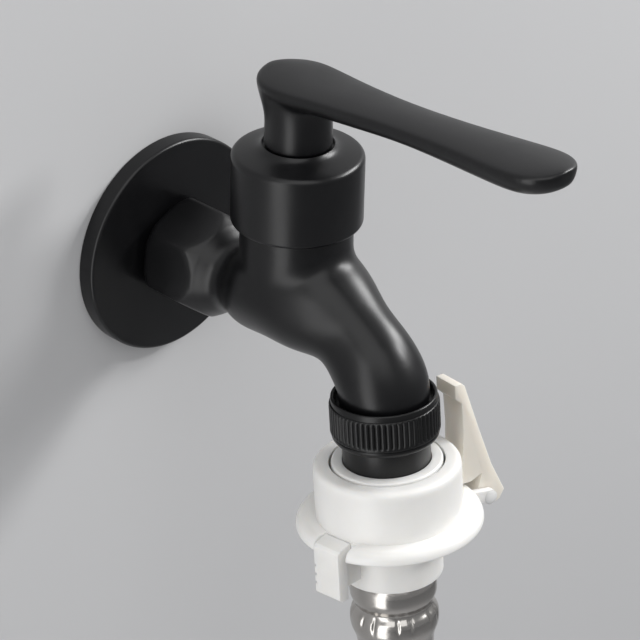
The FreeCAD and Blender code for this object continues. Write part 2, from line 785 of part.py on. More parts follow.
def make_cartridge_housing():
    """Brass sleeve with two side windows, thread, hexagon and neck."""
    body = new_body("cartridge_housing", valve_frame)
    disc_room = "cartridge_disc_radius + cartridge_gap"
    shaft_room = "spindle_radius + spindle_clearance"
    turned(body, "sleeve", [
        (disc_room, "fixed_disc_foot"),
        ("cartridge_sleeve_radius", "fixed_disc_foot"),
        ("cartridge_sleeve_radius", "cartridge_thread_foot"),
        ("inlet_radius", "cartridge_thread_foot"),
        ("inlet_radius", "hexagon_seat"),
        ("cartridge_neck_radius", "hexagon_seat"),
        ("cartridge_neck_radius", "cartridge_neck_top"),
        (shaft_room, "cartridge_neck_top"),
        (shaft_room, "spindle_shoulder + 0.1"),
        (disc_room, "spindle_shoulder + 0.1"),
    ])
    hexagon = outline(body, "hexagon_outline", "XY_Plane",
                      hexagon_corners("cartridge_hexagon_across"),
                      offset=lifted(size("hexagon_seat")))
    circle(body, "hexagon_hole", "XY_Plane", "cartridge_neck_radius - 0.5", sketch=hexagon)
    padded(body, "hexagon", hexagon, "cartridge_hexagon_height")
    window = outline(body, "window_outline", "YZ_Plane", [
        ("-cartridge_window_width / 2", "rotating_disc_foot + 0.6"),
        ("cartridge_window_width / 2", "rotating_disc_foot + 0.6"),
        ("cartridge_window_width / 2", "rotating_disc_foot + 0.6 + cartridge_window_height"),
        ("-cartridge_window_width / 2", "rotating_disc_foot + 0.6 + cartridge_window_height"),
    ])
    pocketed(body, "windows", window, "3 * inlet_radius", both_ways=True)
    return body


def make_ring(label, placement, inner, outer, bottom, top):
    """A plain ring between two radii and two heights."""
    body = new_body(label, placement)
    turned(body, "ring", [(inner, bottom), (outer, bottom), (outer, top), (inner, top)])
    return body


def port_sketch(body, bottom, turn):
    """Two opposite sector ports of a ceramic disc."""
    sketch = body.newObject("Sketcher::SketchObject", "ports_outline")
    attach(body, sketch, "XY_Plane", lifted(size(bottom), turn))
    for side in (0, 180):
        low = f"({side} - disc_port_angle / 2)"
        high = f"({side} + disc_port_angle / 2)"
        outline(body, "", "", [
            (f"disc_port_inner * cos{low}", f"disc_port_inner * sin{low}"),
            (f"disc_port_outer * cos{low}", f"disc_port_outer * sin{low}"),
            (f"disc_port_outer * cos{high}", f"disc_port_outer * sin{high}"),
            (f"disc_port_inner * cos{high}", f"disc_port_inner * sin{high}"),
        ], bows={
            1: "-disc_port_outer * (1 - cos(disc_port_angle / 2))",
            3: "disc_port_inner * (1 - cos(disc_port_angle / 2))",
        }, sketch=sketch)
    return sketch


def make_disc(label, bottom, turn, driven):
    """A ceramic disc with two ports, and a slot for the spindle if it is driven."""
    body = new_body(label, valve_frame)
    blank = circle(body, "blank", "XY_Plane", "cartridge_disc_radius",
                   offset=lifted(size(bottom)))
    padded(body, "disc", blank, "disc_height")
    ports = port_sketch(body, bottom, turn)
    pocketed(body, "ports", ports, "disc_height", reverse=True)
    if driven:
        slot = outline(body, "slot_outline", "YZ_Plane", [
            ("-disc_slot_width / 2", f"{bottom} + disc_height - disc_slot_depth"),
            ("disc_slot_width / 2", f"{bottom} + disc_height - disc_slot_depth"),
            ("disc_slot_width / 2", f"{bottom} + disc_height + 1"),
            ("-disc_slot_width / 2", f"{bottom} + disc_height + 1"),
        ])
        pocketed(body, "slot", slot, "3 * cartridge_disc_radius", both_ways=True)
    return body


def make_valve_spindle():
    """Turned spindle: driving tongue, flange, two ring grooves, clip groove and spline."""
    body = new_body("valve_spindle", valve_frame)
    groove = "spindle_radius - o_ring_wire"
    half = "o_ring_wire * 0.6"
    clip_bottom = "cartridge_neck_top + 0.05"
    turned(body, "shaft", [
        ("0", "spindle_flange_foot"),
        ("cartridge_disc_radius", "spindle_flange_foot"),
        ("cartridge_disc_radius", "spindle_shoulder"),
        ("spindle_radius", "spindle_shoulder"),
        ("spindle_radius", f"lower_o_ring_height - {half}"),
        (groove, f"lower_o_ring_height - {half}"),
        (groove, f"lower_o_ring_height + {half}"),
        ("spindle_radius", f"lower_o_ring_height + {half}"),
        ("spindle_radius", f"upper_o_ring_height - {half}"),
        (groove, f"upper_o_ring_height - {half}"),
        (groove, f"upper_o_ring_height + {half}"),
        ("spindle_radius", f"upper_o_ring_height + {half}"),
        ("spindle_radius", clip_bottom),
        ("spline_radius", clip_bottom),
        ("spline_radius", "spline_top"),
        ("0", "spline_top"),
    ])
    tongue = outline(body, "tongue_outline", "YZ_Plane", [
        ("-disc_slot_width / 2 + 0.1", "spindle_flange_foot - disc_slot_depth + 0.1"),
        ("disc_slot_width / 2 - 0.1", "spindle_flange_foot - disc_slot_depth + 0.1"),
        ("disc_slot_width / 2 - 0.1", "spindle_flange_foot + 0.5"),
        ("-disc_slot_width / 2 + 0.1", "spindle_flange_foot + 0.5"),
    ])
    padded(body, "tongue", tongue, "2 * disc_port_outer", both_ways=True)
    tooth = outline(body, "tooth_gap", "XY_Plane", [
        ("spline_radius - spline_depth", "0"),
        ("spline_radius + 0.2", "-pi * spline_radius / spline_teeth * 0.8"),
        ("spline_radius + 0.2", "pi * spline_radius / spline_teeth * 0.8"),
    ], offset=lifted(size("spline_top") + 1))
    gap = pocketed(body, "first_gap", tooth, "spline_top + 1 - spline_bottom")
    repeated(body, "spline", gap, "spline_teeth", tooth, "N_Axis")
    return body


def make_spindle_o_rings():
    """Two round-section rings in the spindle's grooves."""
    body = new_body("spindle_o_rings", valve_frame)
    radius = "spindle_radius + spindle_clearance - o_ring_fit_gap - o_ring_wire / 2"
    wire = "o_ring_wire / 2"
    rings = circle(body, "lower_section", "XZ_Plane", wire, x=radius, y="lower_o_ring_height")
    circle(body, "", "", wire, x=radius, y="upper_o_ring_height", sketch=rings)
    turn = body.newObject("PartDesign::Revolution", "rings")
    turn.AllowMultiFace = True
    turn.Profile = rings
    turn.ReferenceAxis = (rings, ["V_Axis"])
    turn.Angle = 360
    doc.recompute()
    return body


def make_spindle_clip():
    """An open spring clip that sits on the cartridge's neck."""
    body = new_body("spindle_clip", valve_frame)
    bottom = "cartridge_neck_top + 0.05"
    turned(body, "ring", [
        ("spline_radius + 0.05", bottom),
        ("clip_radius", bottom),
        ("clip_radius", bottom + " + clip_height"),
        ("spline_radius + 0.05", bottom + " + clip_height"),
    ])
    mouth = outline(body, "mouth_outline", "XY_Plane", [
        ("0", "0"),
        ("2 * clip_radius * sin(clip_opening / 2)", "2 * clip_radius * cos(clip_opening / 2)"),
        ("-2 * clip_radius * sin(clip_opening / 2)", "2 * clip_radius * cos(clip_opening / 2)"),
    ], offset=lifted(size(bottom) - 1))
    pocketed(body, "mouth", mouth, "clip_height + 3", reverse=True)
    return body


def lever_section(reach, width, height, thickness):
    """A slab section: a crowned top, round sides and a flatter underside."""
    half = width / 2
    inset = min(half * 0.45, thickness * 0.8)
    left = Vector(-half, -reach, height)
    right = Vector(half, -reach, height)
    low_right = Vector(half - inset, -reach, height - thickness)
    low_left = Vector(-half + inset, -reach, height - thickness)
    crown = Vector(0, -reach, height + size("lever_crown") * min(1, half / 7))
    belly = Vector(0, -reach, height - thickness - 0.25)

    def side(upper, lower):
        middle = (upper + lower) * 0.5
        outward = Vector(math.copysign(1, upper.x), 0, -0.8).normalize()
        return middle + outward * (thickness * 0.22)

    return Part.Wire([
        Part.Arc(left, crown, right).toShape(),
        Part.Arc(right, side(right, low_right), low_right).toShape(),
        Part.Arc(low_right, belly, low_left).toShape(),
        Part.Arc(low_left, side(left, low_left), left).toShape(),
    ])


def lever_stations():
    """Reach, width, top edge height and thickness along the lever, from head to tip."""
    head = size("head_radius")
    thickness = size("lever_thickness")
    waist = size("lever_waist_run")
    paddle = size("lever_paddle_reach")
    tip = size("lever_tip_reach")
    head_height = size("head_height")
    waist_height = size("lever_waist_height")
    paddle_height = size("lever_paddle_height")
    tip_height = size("lever_tip_height")
    waist_width = size("lever_waist_width")
    paddle_width = size("lever_paddle_width")
    return [
        (-head, head * 0.5, head_height + 0.2, thickness * 0.7),
        (-head * 0.86, head * 1.16, head_height + 0.2, thickness * 0.95),
        (-head * 0.5, head * 1.78, head_height + 0.1, thickness * 1.1),
        (0, head * 2, head_height, thickness * 1.2),
        (head * 0.8, head * 1.84, head_height + 0.3, thickness * 1.04),
        (waist * 0.6, waist_width * 1.12, (head_height + waist_height) / 2, thickness * 0.98),
        (waist, waist_width, waist_height, thickness * 0.95),
        ((waist + paddle) / 2, waist_width * 1.08, (waist_height + paddle_height) / 2,
         thickness * 1.1),
        (paddle, paddle_width, paddle_height, thickness * 1.2),
        ((paddle + tip) / 2, paddle_width * 0.93, (paddle_height + tip_height) / 2,
         thickness * 1.1),
        (tip - 1.6, paddle_width * 0.62, tip_height - 0.1, thickness * 0.84),
        (tip, paddle_width * 0.26, tip_height, thickness * 0.5),
    ]


def make_lever_handle():
    """A lofted lever on a round stem with the spindle's socket and the screw's hole."""
    wires = [lever_section(*station) for station in lever_stations()]
    lever = Part.makeLoft(wires, True, False)
    foot = size("stem_foot")
    flare = size("head_flare_start")
    top = size("head_height") - size("lever_thickness") * 0.5
    stem_radius = size("stem_radius")
    foot_radius = size("stem_foot_radius")
    recess = size("stem_recess_radius")
    recess_top = foot + size("stem_recess_height")
    bore = size("spline_radius + socket_gap")
    profile = [
        (recess, foot),
        (foot_radius, foot),
        (stem_radius, foot + size("stem_foot_height")),
        (stem_radius, flare),
        (0, flare),
    ]
    corners = [Vector(radius, 0, height) for radius, height in profile]
    corners += [Vector(0, 0, recess_top), Vector(recess, 0, recess_top), corners[0]]
    stem = Part.Face(Part.makePolygon(corners)).revolve(Vector(), Vector(0, 0, 1), 360)
    rings = []
    for share, spread in ((0, 0), (0.22, 0.02), (0.5, 0.3), (0.8, 0.8), (1, 1)):
        centre = Vector(0, size("head_flare_lean") * spread, flare + (top - flare) * share)
        radius = stem_radius + size("head_flare_growth") * spread
        rings.append(Part.Wire(Part.Circle(centre, Vector(0, 0, 1), radius).toShape()))
    flared = Part.makeLoft(rings, True, False)
    handle = stem.fuse([flared, lever]).removeSplitter()
    socket = Part.makeCylinder(bore, size("socket_top") - foot, Vector(0, 0, foot))
    handle = handle.cut(socket)
    hole = Part.makeCylinder(size("handle_screw_radius"), size("head_radius"),
                             Vector(0, 0, size("handle_screw_height")), Vector(0, 1, 0))
    handle = handle.cut(hole)
    feature = doc.addObject("Part::Feature", "lever_handle")
    feature.Label = "lever_handle"
    feature.Shape = handle
    feature.Placement = valve_frame
    return feature


def make_handle_screw():
    """A grub screw with a hexagon socket, in the back of the stem."""
    body = new_body("handle_screw", valve_frame)
    start = "spline_radius + 0.05"
    end = "stem_radius - 0.6"
    across_stem = Placement(Vector(0, size(end), size("handle_screw_height")),
                            Rotation(Vector(1, 0, 0), 90))
    round_end = circle(body, "shank_outline", "XY_Plane", "handle_screw_radius - 0.03",
                       offset=across_stem)
    padded(body, "shank", round_end, f"{end} - ({start})")
    socket = outline(body, "socket_outline", "XY_Plane",
                     hexagon_corners("handle_screw_socket"), offset=across_stem)
    pocketed(body, "socket", socket, "handle_screw_socket * 0.9", reverse=True)
    return body


def make_hose_nozzle():
    """Knurled nozzle: its mouth screws on the spout and its nipple enters the connector."""
    body = new_body("hose_nozzle", nozzle_frame)
    blank = turned(body, "blank", [
        ("mouth_radius + nozzle_rim_gap", "-nozzle_rim"),
        ("nozzle_rim_radius", "-nozzle_rim"),
        ("nozzle_rim_radius", "-knurl_top + 0.5"),
        ("nozzle_radius", "-knurl_top + 0.2"),
        ("nozzle_radius", "-nozzle_groove_depth"),
        ("nozzle_radius - nozzle_groove_width", "-nozzle_groove_depth"),
        ("nozzle_radius - nozzle_groove_width", "-nozzle_groove_depth - nozzle_groove_width"),
        ("nozzle_radius - 0.3", "-nozzle_groove_depth - nozzle_groove_width"),
        ("nozzle_radius - 0.3", "-nozzle_foot"),
        ("nipple_radius", "-nozzle_foot"),
        ("nipple_radius", "-ball_depth + ball_radius"),
        ("nipple_radius - nipple_groove_depth", "-ball_depth + ball_radius * 0.6"),
        ("nipple_radius - nipple_groove_depth", "-ball_depth - ball_radius * 0.6"),
        ("nipple_radius", "-ball_depth - ball_radius"),
        ("nipple_radius", "-nipple_step"),
        ("nipple_tip_radius", "-nipple_step - 1"),
        ("nipple_tip_radius", "-nipple_tip"),
        ("nipple_bore", "-nipple_tip"),
        ("nipple_bore", "-nozzle_thread_floor"),
        ("outlet_thread_radius + nozzle_thread_gap", "-nozzle_thread_floor"),
        ("outlet_thread_radius + nozzle_thread_gap", "-nozzle_rim_floor"),
        ("mouth_radius + nozzle_rim_gap", "-nozzle_rim_floor"),
    ])
    rounded(body, "foot_round", blank, [("nozzle_radius - 0.3", "-nozzle_foot")],
            "nozzle_foot_round")
    ridge_gap = outline(body, "knurl_gap", "XY_Plane", [
        ("nozzle_radius - knurl_depth", "0"),
        ("nozzle_radius + 0.1", "-pi * nozzle_radius / knurl_ridges * 0.8"),
        ("nozzle_radius + 0.1", "pi * nozzle_radius / knurl_ridges * 0.8"),
    ], offset=lifted(-size("knurl_top")))
    gap = pocketed(body, "first_gap", ridge_gap, "knurl_foot - knurl_top")
    repeated(body, "knurl", gap, "knurl_ridges", ridge_gap, "N_Axis")
    return body


def make_coupler_body():
    """Lower connector body with the nipple's socket and the grip tab on a web."""
    body = new_body("coupler_body", connector_frame)
    socket = "nipple_tip_radius + nipple_gap"
    head_room = "barb_head_radius + barb_gap"
    head_floor = "-socket_floor - barb_head_height"
    mouth = "nipple_radius + nipple_gap"
    blank = turned(body, "blank", [
        (mouth, "-cage_counterbore"),
        ("tube_radius", "-cage_counterbore"),
        ("tube_radius", "-coupler_step"),
        ("coupler_radius", "-coupler_step"),
        ("coupler_radius", "-coupler_foot"),
        ("barb_shank_radius + barb_gap", "-coupler_foot"),
        ("barb_shank_radius + barb_gap", head_floor),
        (head_room, head_floor),
        (head_room, "-socket_floor + seal_height"),
        (socket, "-socket_floor + seal_height"),
        (socket, "-nipple_step - 1.6"),
        (mouth, "-nipple_step - 0.8"),
    ])
    rounded(body, "foot_round", blank, [("coupler_radius", "-coupler_foot")],
            "coupler_foot_round")
    web = outline(body, "web_outline", "XY_Plane", [
        ("-coupler_radius + 0.6", "-tab_web_width / 2"),
        ("-coupler_radius + 0.6", "tab_web_width / 2"),
        ("-tab_radius - 0.5", "tab_web_width / 2"),
        ("-tab_radius - 0.5", "-tab_web_width / 2"),
    ], offset=lifted(-size("tab_web_foot"), size("tab_turn")))
    padded(body, "web", web, "tab_web_foot - tab_web_top")
    outer = "-tab_radius - tab_thickness"
    tab = outline(body, "tab_outline", "XZ_Plane", [
        ("-tab_head_radius", "-tab_head_top"),
        ("-tab_head_radius", "-tab_head_top - tab_head_height"),
        ("-tab_radius", "-tab_head_top - 1.3 * tab_head_height"),
        ("-tab_radius", "-tab_foot"),
        (outer + " + tab_corner", "-tab_foot"),
        (outer, "-tab_foot + tab_corner"),
        (outer, "-tab_top - tab_corner"),
        (outer + " + tab_corner", "-tab_top"),
    ], offset=tab_plane)
    padded(body, "tab", tab, "tab_width", both_ways=True)
    for number in range(int(size("tab_grooves"))):
        foot = f"tab_top + tab_groove_drop + tab_groove_width + {number} * tab_groove_pitch"
        groove = outline(body, f"tab_groove_{number + 1}_outline", "XY_Plane", [
            (outer + " - 1", "tab_width / 2 - tab_groove_depth"),
            (outer + " - 1", "tab_width / 2 + 1"),
            ("-tab_radius + 1", "tab_width / 2 + 1"),
            ("-tab_radius + 1", "tab_width / 2 - tab_groove_depth"),
        ], offset=lifted(-size(foot), size("tab_turn")))
        pocketed(body, f"tab_groove_{number + 1}", groove, "tab_groove_width", reverse=True)
    return body


def make_ball_cage():
    """Mouth ring of the connector, with four round holes for the balls."""
    body = new_body("ball_cage", connector_frame)
    nipple_room = "nipple_radius + nipple_gap"
    tube_room = "tube_radius + tube_gap"
    ring = turned(body, "ring", [
        (nipple_room, "-cage_rim"),
        ("cage_radius", "-cage_rim"),
        ("cage_radius", "-cage_foot"),
        (tube_room, "-cage_foot"),
        (tube_room, "-cage_counterbore"),
        (nipple_room, "-cage_counterbore"),
    ])
    rounded(body, "rim_round", ring, [("cage_radius", "-cage_rim")], "cage_rim_round")
    for name, plane in (("along_holes", "YZ_Plane"), ("side_holes", "XZ_Plane")):
        hole = circle(body, name + "_outline", plane, "ball_radius + ball_gap", y="-ball_depth")
        pocketed(body, name, hole, "4 * cage_radius", both_ways=True)
    return body


def make_locking_ball(number):
    """A steel ball in its hole of the cage, with its inner side in the nipple's groove."""
    ball = doc.addObject("Part::Sphere", f"locking_ball_{number}")
    ball.Label = f"locking_ball_{number}"
    ball.setExpression("Radius", bind("ball_radius"))
    angle = math.radians(90 * (number - 1))
    ring = size("nipple_radius - nipple_groove_depth + ball_radius + ball_gap")
    place = Vector(ring * math.cos(angle), ring * math.sin(angle), -size("ball_depth"))
    ball.Placement = connector_frame.multiply(Placement(place, Rotation()))
    return ball


def make_sliding_collar():
    """Collar with its ramp over the balls, spring rib, skirt, flange, notch and ears."""
    body = new_body("sliding_collar", connector_frame)
    land = "nipple_radius - nipple_groove_depth + 2 * ball_radius + 3 * ball_gap"
    ramp_top = "-ball_depth + collar_travel"
    blank = turned(body, "blank", [
        ("collar_lip_radius", "-collar_rim"),
        ("collar_radius", "-collar_rim"),
        ("collar_radius", "-collar_flange_top"),
        ("collar_flange_radius", "-collar_flange_top"),
        ("collar_flange_radius", "-collar_flange_foot"),
        ("collar_skirt_radius", "-collar_flange_foot"),
        ("collar_skirt_radius", "-collar_skirt_foot"),
        ("collar_skirt_bore", "-collar_skirt_foot"),
        ("collar_skirt_bore", "-collar_rib_foot"),
        ("collar_rib_radius", "-collar_rib_foot"),
        ("collar_rib_radius", "-collar_rib_top"),
        (land, "-collar_rib_top"),
        (land, "-ball_depth - 0.4"),
        (f"{land} + ball_travel", ramp_top + " - 0.4"),
        (f"{land} + ball_travel", "-collar_lip_foot"),
        ("collar_lip_radius", "-collar_lip_foot"),
    ])
    rim = rounded(body, "rim_round", blank, [("collar_radius", "-collar_rim")],
                  "collar_rim_round")
    upper = rounded(body, "flange_round", rim, [("collar_flange_radius", "-collar_flange_top")],
                    "collar_flange_round")
    rounded(body, "flange_edge", upper, [("collar_flange_radius", "-collar_flange_foot")],
            "collar_flange_edge")
    back = "(tab_width / 2 + notch_side_gap)"
    front = "(tab_width / 2 + notch_front_gap)"
    notch = outline(body, "notch_outline", "XY_Plane", [
        ("-notch_radius", back),
        ("-notch_radius", f"-{front}"),
        ("-collar_flange_radius - 2", f"-{front}"),
        ("-collar_flange_radius - 2", back),
    ], offset=lifted(-size("collar_flange_foot") - 1, size("tab_turn")))
    pocketed(body, "notch", notch, "collar_flange_foot - collar_flange_top + 2", reverse=True)
    side = "(tab_web_width / 2 + notch_side_gap)"
    slot = outline(body, "web_slot_outline", "XY_Plane", [
        ("-coupler_radius - 0.3", side),
        ("-coupler_radius - 0.3", f"-{side}"),
        ("-collar_flange_radius", f"-{side}"),
        ("-collar_flange_radius", side),
    ], offset=lifted(-size("collar_skirt_foot") - 1, size("tab_turn")))
    pocketed(body, "web_slot", slot,
             "collar_skirt_foot + 1 - tab_web_top + collar_travel + notch_side_gap", reverse=True)
    inner = "latch_width / 2 + latch_side_gap"
    for name, side in (("front_ear", -1), ("back_ear", 1)):
        outset = f"{side} * ({inner} + latch_ear_width / 2)"
        plane = Placement(Vector(0, size(outset), 0), Rotation())
        ear = outline(body, name + "_outline", "XZ_Plane", [
            ("collar_flange_radius - 2.4", "-collar_flange_foot"),
            ("latch_pivot_radius", "-latch_pivot_depth - latch_ear_radius"),
            ("latch_pivot_radius", "-latch_pivot_depth + latch_ear_radius"),
            ("collar_flange_radius - 2.4", "-collar_flange_top - 1"),
        ], bows={1: "-latch_ear_radius"}, offset=Placement(Vector(0, 0, -size(outset)),
                                                            Rotation()))
        padded(body, name, ear, "latch_ear_width", both_ways=True)
    pivot = circle(body, "pivot_outline", "XZ_Plane", "latch_pin_radius + 0.02",
                   x="latch_pivot_radius", y="-latch_pivot_depth")
    pocketed(body, "pivot", pivot, "2 * latch_width + 4 * latch_ear_width", both_ways=True)
    return body


def make_latch_lever():
    """Hook lever: thin at the hook, wider towards the heel, with a notch over the foot."""
    body = new_body("latch_lever", connector_frame)
    rest = "collar_flange_top - latch_rest_gap"
    plate = outline(body, "side_outline", "XZ_Plane", [
        ("latch_hook_radius", "-latch_hook_top"),
        ("latch_hook_radius", "-latch_hook_foot"),
        ("latch_inner_radius", "-latch_hook_foot - 2"),
        ("latch_inner_radius + 0.3", "-latch_hook_foot - 10"),
        ("latch_inner_radius - 0.6", f"-({rest})"),
        ("latch_inner_radius + 2.2", f"-({rest}) - 0.2"),
        ("latch_pivot_radius - 0.9", "-latch_pivot_depth + 6.6"),
        ("latch_pivot_radius - 2.7", "-latch_pivot_depth + 1.1"),
        ("latch_pivot_radius - 1.5", "-latch_pivot_depth - 1.4"),
        ("latch_pivot_radius + 1.6", "-latch_foot_depth"),
        ("latch_heel_radius - 1.6", "-latch_foot_depth + 0.9"),
        ("latch_heel_radius", "-latch_heel_depth"),
        ("latch_pivot_radius + 2.3", "-latch_heel_depth + 9"),
        ("latch_back_radius + 4.2", "-latch_hook_top - 15"),
        ("latch_back_radius", "-latch_hook_top - 1"),
        ("latch_back_radius - 1", "-latch_hook_top"),
    ])
    padded(body, "plate", plate, "latch_width", both_ways=True)
    pivot = circle(body, "pivot_outline", "XZ_Plane", "latch_pin_radius + latch_pin_gap",
                   x="latch_pivot_radius", y="-latch_pivot_depth")
    pocketed(body, "pivot", pivot, "2 * latch_width", both_ways=True)
    return body


def make_latch_pin():
    """The steel pin through both ears and the lever."""
    body = new_body("latch_pin", connector_frame)
    section = circle(body, "section", "XZ_Plane", "latch_pin_radius",
                     x="latch_pivot_radius", y="-latch_pivot_depth")
    padded(body, "pin", section, "latch_width + 2 * latch_side_gap + 2 * latch_ear_width",
           both_ways=True)
    return body


def make_collar_spring():
    """Compression spring between the coupler body's step and the collar's rib."""
    wire = size("spring_wire")
    radius = size("tube_radius") + 0.35 + wire / 2
    foot = -size("coupler_step") + wire / 2 + size("spring_gap")
    top = -size("collar_rib_foot") - wire / 2 - size("spring_gap")
    turns = size("spring_turns")
    helix = Part.makeHelix((top - foot) / turns, top - foot, radius)
    section = Part.Wire(Part.Circle(Vector(radius, 0, 0), Vector(0, 1, 0), wire / 2).toShape())
    coil = Part.Wire(helix).makePipeShell([section], True, True)
    feature = doc.addObject("Part::Feature", "collar_spring")
    feature.Label = "collar_spring"
    feature.Shape = coil
    feature.Placement = connector_frame.multiply(lifted(foot))
    return feature


def make_coupler_seal():
    """Rubber ring on the barb's head, which the nipple's tip presses."""
    return make_ring("coupler_seal", connector_frame, "seal_bore",
                     "barb_head_radius", "-socket_floor", "-socket_floor + seal_height")


def make_hose_barb():
    """Turned tail: head, ring groove, plain shank and ridges for the hose."""
    body = new_body("hose_barb", connector_frame)
    groove = "barb_shank_radius - barb_o_ring_wire"
    half = "barb_o_ring_wire * 0.6"
    corners = [
        ("barb_bore", "-socket_floor"),
        ("barb_head_radius", "-socket_floor"),
        ("barb_head_radius", "-socket_floor - barb_head_height"),
        ("barb_shank_radius", "-socket_floor - barb_head_height"),
        ("barb_shank_radius", f"-barb_o_ring_depth + {half}"),
        (groove, f"-barb_o_ring_depth + {half}"),
        (groove, f"-barb_o_ring_depth - {half}"),
        ("barb_shank_radius", f"-barb_o_ring_depth - {half}"),
    ]
    for ridge in range(4):
        top = f"-ferrule_top - 3.5 - barb_ridge_pitch * {ridge}"
        corners.append(("barb_shank_radius", top))
        corners.append(("barb_ridge_radius", f"{top} - 0.3"))
        corners.append(("barb_shank_radius", f"{top} - barb_ridge_pitch * 0.7"))
    corners.append(("barb_shank_radius", "-barb_tip"))
    corners.append(("barb_bore", "-barb_tip"))
    turned(body, "tail", corners)
    return body


def make_barb_o_ring():
    """Round-section ring in the tail's groove."""
    body = new_body("barb_o_ring", connector_frame)
    ring_radius = "barb_shank_radius + barb_gap - o_ring_fit_gap - barb_o_ring_wire / 2"
    section = circle(body, "section", "XZ_Plane", "barb_o_ring_wire / 2",
                     x=ring_radius, y="-barb_o_ring_depth")
    ring = body.newObject("PartDesign::Revolution", "ring")
    ring.Profile = section
    ring.ReferenceAxis = (section, ["V_Axis"])
    ring.Angle = 360
    doc.recompute()
    return body


def make_hose_ferrule():
    """Crimped sleeve: a round bead, a neck, a bulge with eight flats and an open foot."""
    body = new_body("hose_ferrule", connector_frame)
    stations = (
        ("ferrule_bulge_radius - 0.9", "ferrule_top"),
        ("ferrule_bulge_radius", "ferrule_bulge_depth - 2"),
        ("ferrule_bulge_radius", "ferrule_bulge_depth + 1.6"),
        ("ferrule_neck_radius", "ferrule_neck_depth"),
        ("ferrule_crimp_radius", "ferrule_neck_depth + 2.4"),
        ("ferrule_crimp_radius", "ferrule_crimp_depth + 1.5"),
        ("ferrule_waist_radius", "ferrule_waist_depth"),
        ("ferrule_waist_radius + 0.3", "ferrule_foot"),
    )
    outer = [(radius, f"-({depth})") for radius, depth in stations]
    inner = [(f"{radius} - ferrule_wall", f"-({depth})") for radius, depth in stations]
    inner[0] = ("ferrule_bulge_radius - 0.9 - ferrule_wall", "-ferrule_top - ferrule_wall")
    corners = [("ferrule_hole", "-ferrule_top")] + outer + inner[::-1]
    corners.append(("ferrule_hole", "-ferrule_top - ferrule_wall"))
    turned(body, "sleeve", corners)
    return body


SUB_PARTS = [
    make_tap_body(),
    make_wall_flange(),
    make_bonnet_cover(),
    make_cartridge_housing(),
    make_ring("cartridge_gasket", valve_frame, "inlet_radius + 0.15", "gasket_radius",
              "boss_top", "hexagon_seat"),
    make_ring("seat_seal", valve_frame, "seat_bore + 0.4", "cartridge_disc_radius",
              "chamber_floor", "fixed_disc_foot"),
    make_disc("fixed_disc", "fixed_disc_foot", 0, False),
    make_disc("rotating_disc", "rotating_disc_foot", 90, True),
    make_valve_spindle(),
    make_spindle_o_rings(),
    make_spindle_clip(),
    make_lever_handle(),
    make_handle_screw(),
    make_hose_nozzle(),
    make_ring("nozzle_gasket", nozzle_frame, "outlet_bore + 0.4",
              "outlet_thread_radius - 0.2", "-nozzle_thread_floor", "-outlet_thread_foot"),
    make_coupler_body(),
    make_ball_cage(),
    make_coupler_seal(),
    make_locking_ball(1),
    make_locking_ball(2),
    make_locking_ball(3),
    make_locking_ball(4),
    make_collar_spring(),
    make_sliding_collar(),
    make_latch_lever(),
    make_latch_pin(),
    make_hose_barb(),
    make_barb_o_ring(),
    make_hose_ferrule(),
]

doc.recompute()

for item in doc.Objects:
    if "Invalid" in item.State or "Error" in item.State:
        raise RuntimeError(f"{item.Name} failed: {item.State}")

os.makedirs("parts", exist_ok=True)
for sub_part in SUB_PARTS:
    shape = sub_part.Shape
    if shape.isNull() or not shape.isValid() or shape.Volume <= 0:
        raise RuntimeError(f"{sub_part.Label} has no valid shape")
    shape.exportStep(os.path.join("parts", sub_part.Label + ".step"))
    print(f"{sub_part.Label}: {len(shape.Solids)} solid, {shape.Volume:.1f} mm3")
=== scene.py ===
# %% [markdown]
# # A wall tap with a quick hose connector
#
# This lesson dresses a matte black washing machine tap. The solids come ready made, as a fixed
# frame in metres, and every piece made here is put in that same frame. Each step first says what
# the piece is on the real tap, then how it could be made, and why it is made this way.

import json
import math

import bmesh
import bpy
from mathutils import Matrix, Vector


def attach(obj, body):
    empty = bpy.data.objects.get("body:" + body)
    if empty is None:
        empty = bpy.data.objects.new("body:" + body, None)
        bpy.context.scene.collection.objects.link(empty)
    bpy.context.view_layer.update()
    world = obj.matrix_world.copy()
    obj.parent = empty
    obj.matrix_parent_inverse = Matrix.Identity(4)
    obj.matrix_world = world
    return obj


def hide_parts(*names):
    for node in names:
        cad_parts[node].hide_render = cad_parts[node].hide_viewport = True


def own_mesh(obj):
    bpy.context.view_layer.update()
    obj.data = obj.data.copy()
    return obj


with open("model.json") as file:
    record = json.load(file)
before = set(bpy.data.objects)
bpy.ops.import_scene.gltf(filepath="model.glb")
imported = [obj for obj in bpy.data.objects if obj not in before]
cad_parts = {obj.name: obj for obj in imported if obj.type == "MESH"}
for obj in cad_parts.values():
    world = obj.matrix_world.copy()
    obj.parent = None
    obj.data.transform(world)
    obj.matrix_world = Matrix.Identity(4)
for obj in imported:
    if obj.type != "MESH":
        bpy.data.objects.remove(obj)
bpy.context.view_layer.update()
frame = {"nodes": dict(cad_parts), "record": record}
MM = 0.001
MERGE_DISTANCE = 0.0005

# %% [markdown]
# ## Places on the tap
#
# Three straight axes carry everything: the inlet along Y, the upright valve axis, and the
# nozzle axis, which leans a few degrees. The connector below turns freely on the nozzle, and
# sits ten degrees round from it. A matrix for each axis lets a piece be made upright round its
# own centre line and then be put in place, with the sizes in millimetres.

# %% Axes of the valve, the nozzle and the connector
VALVE_REACH = 49.74
NOZZLE_REACH = 80.48
NOZZLE_TILT = math.radians(5.88)
CONNECTOR_TURN = math.radians(10.0)

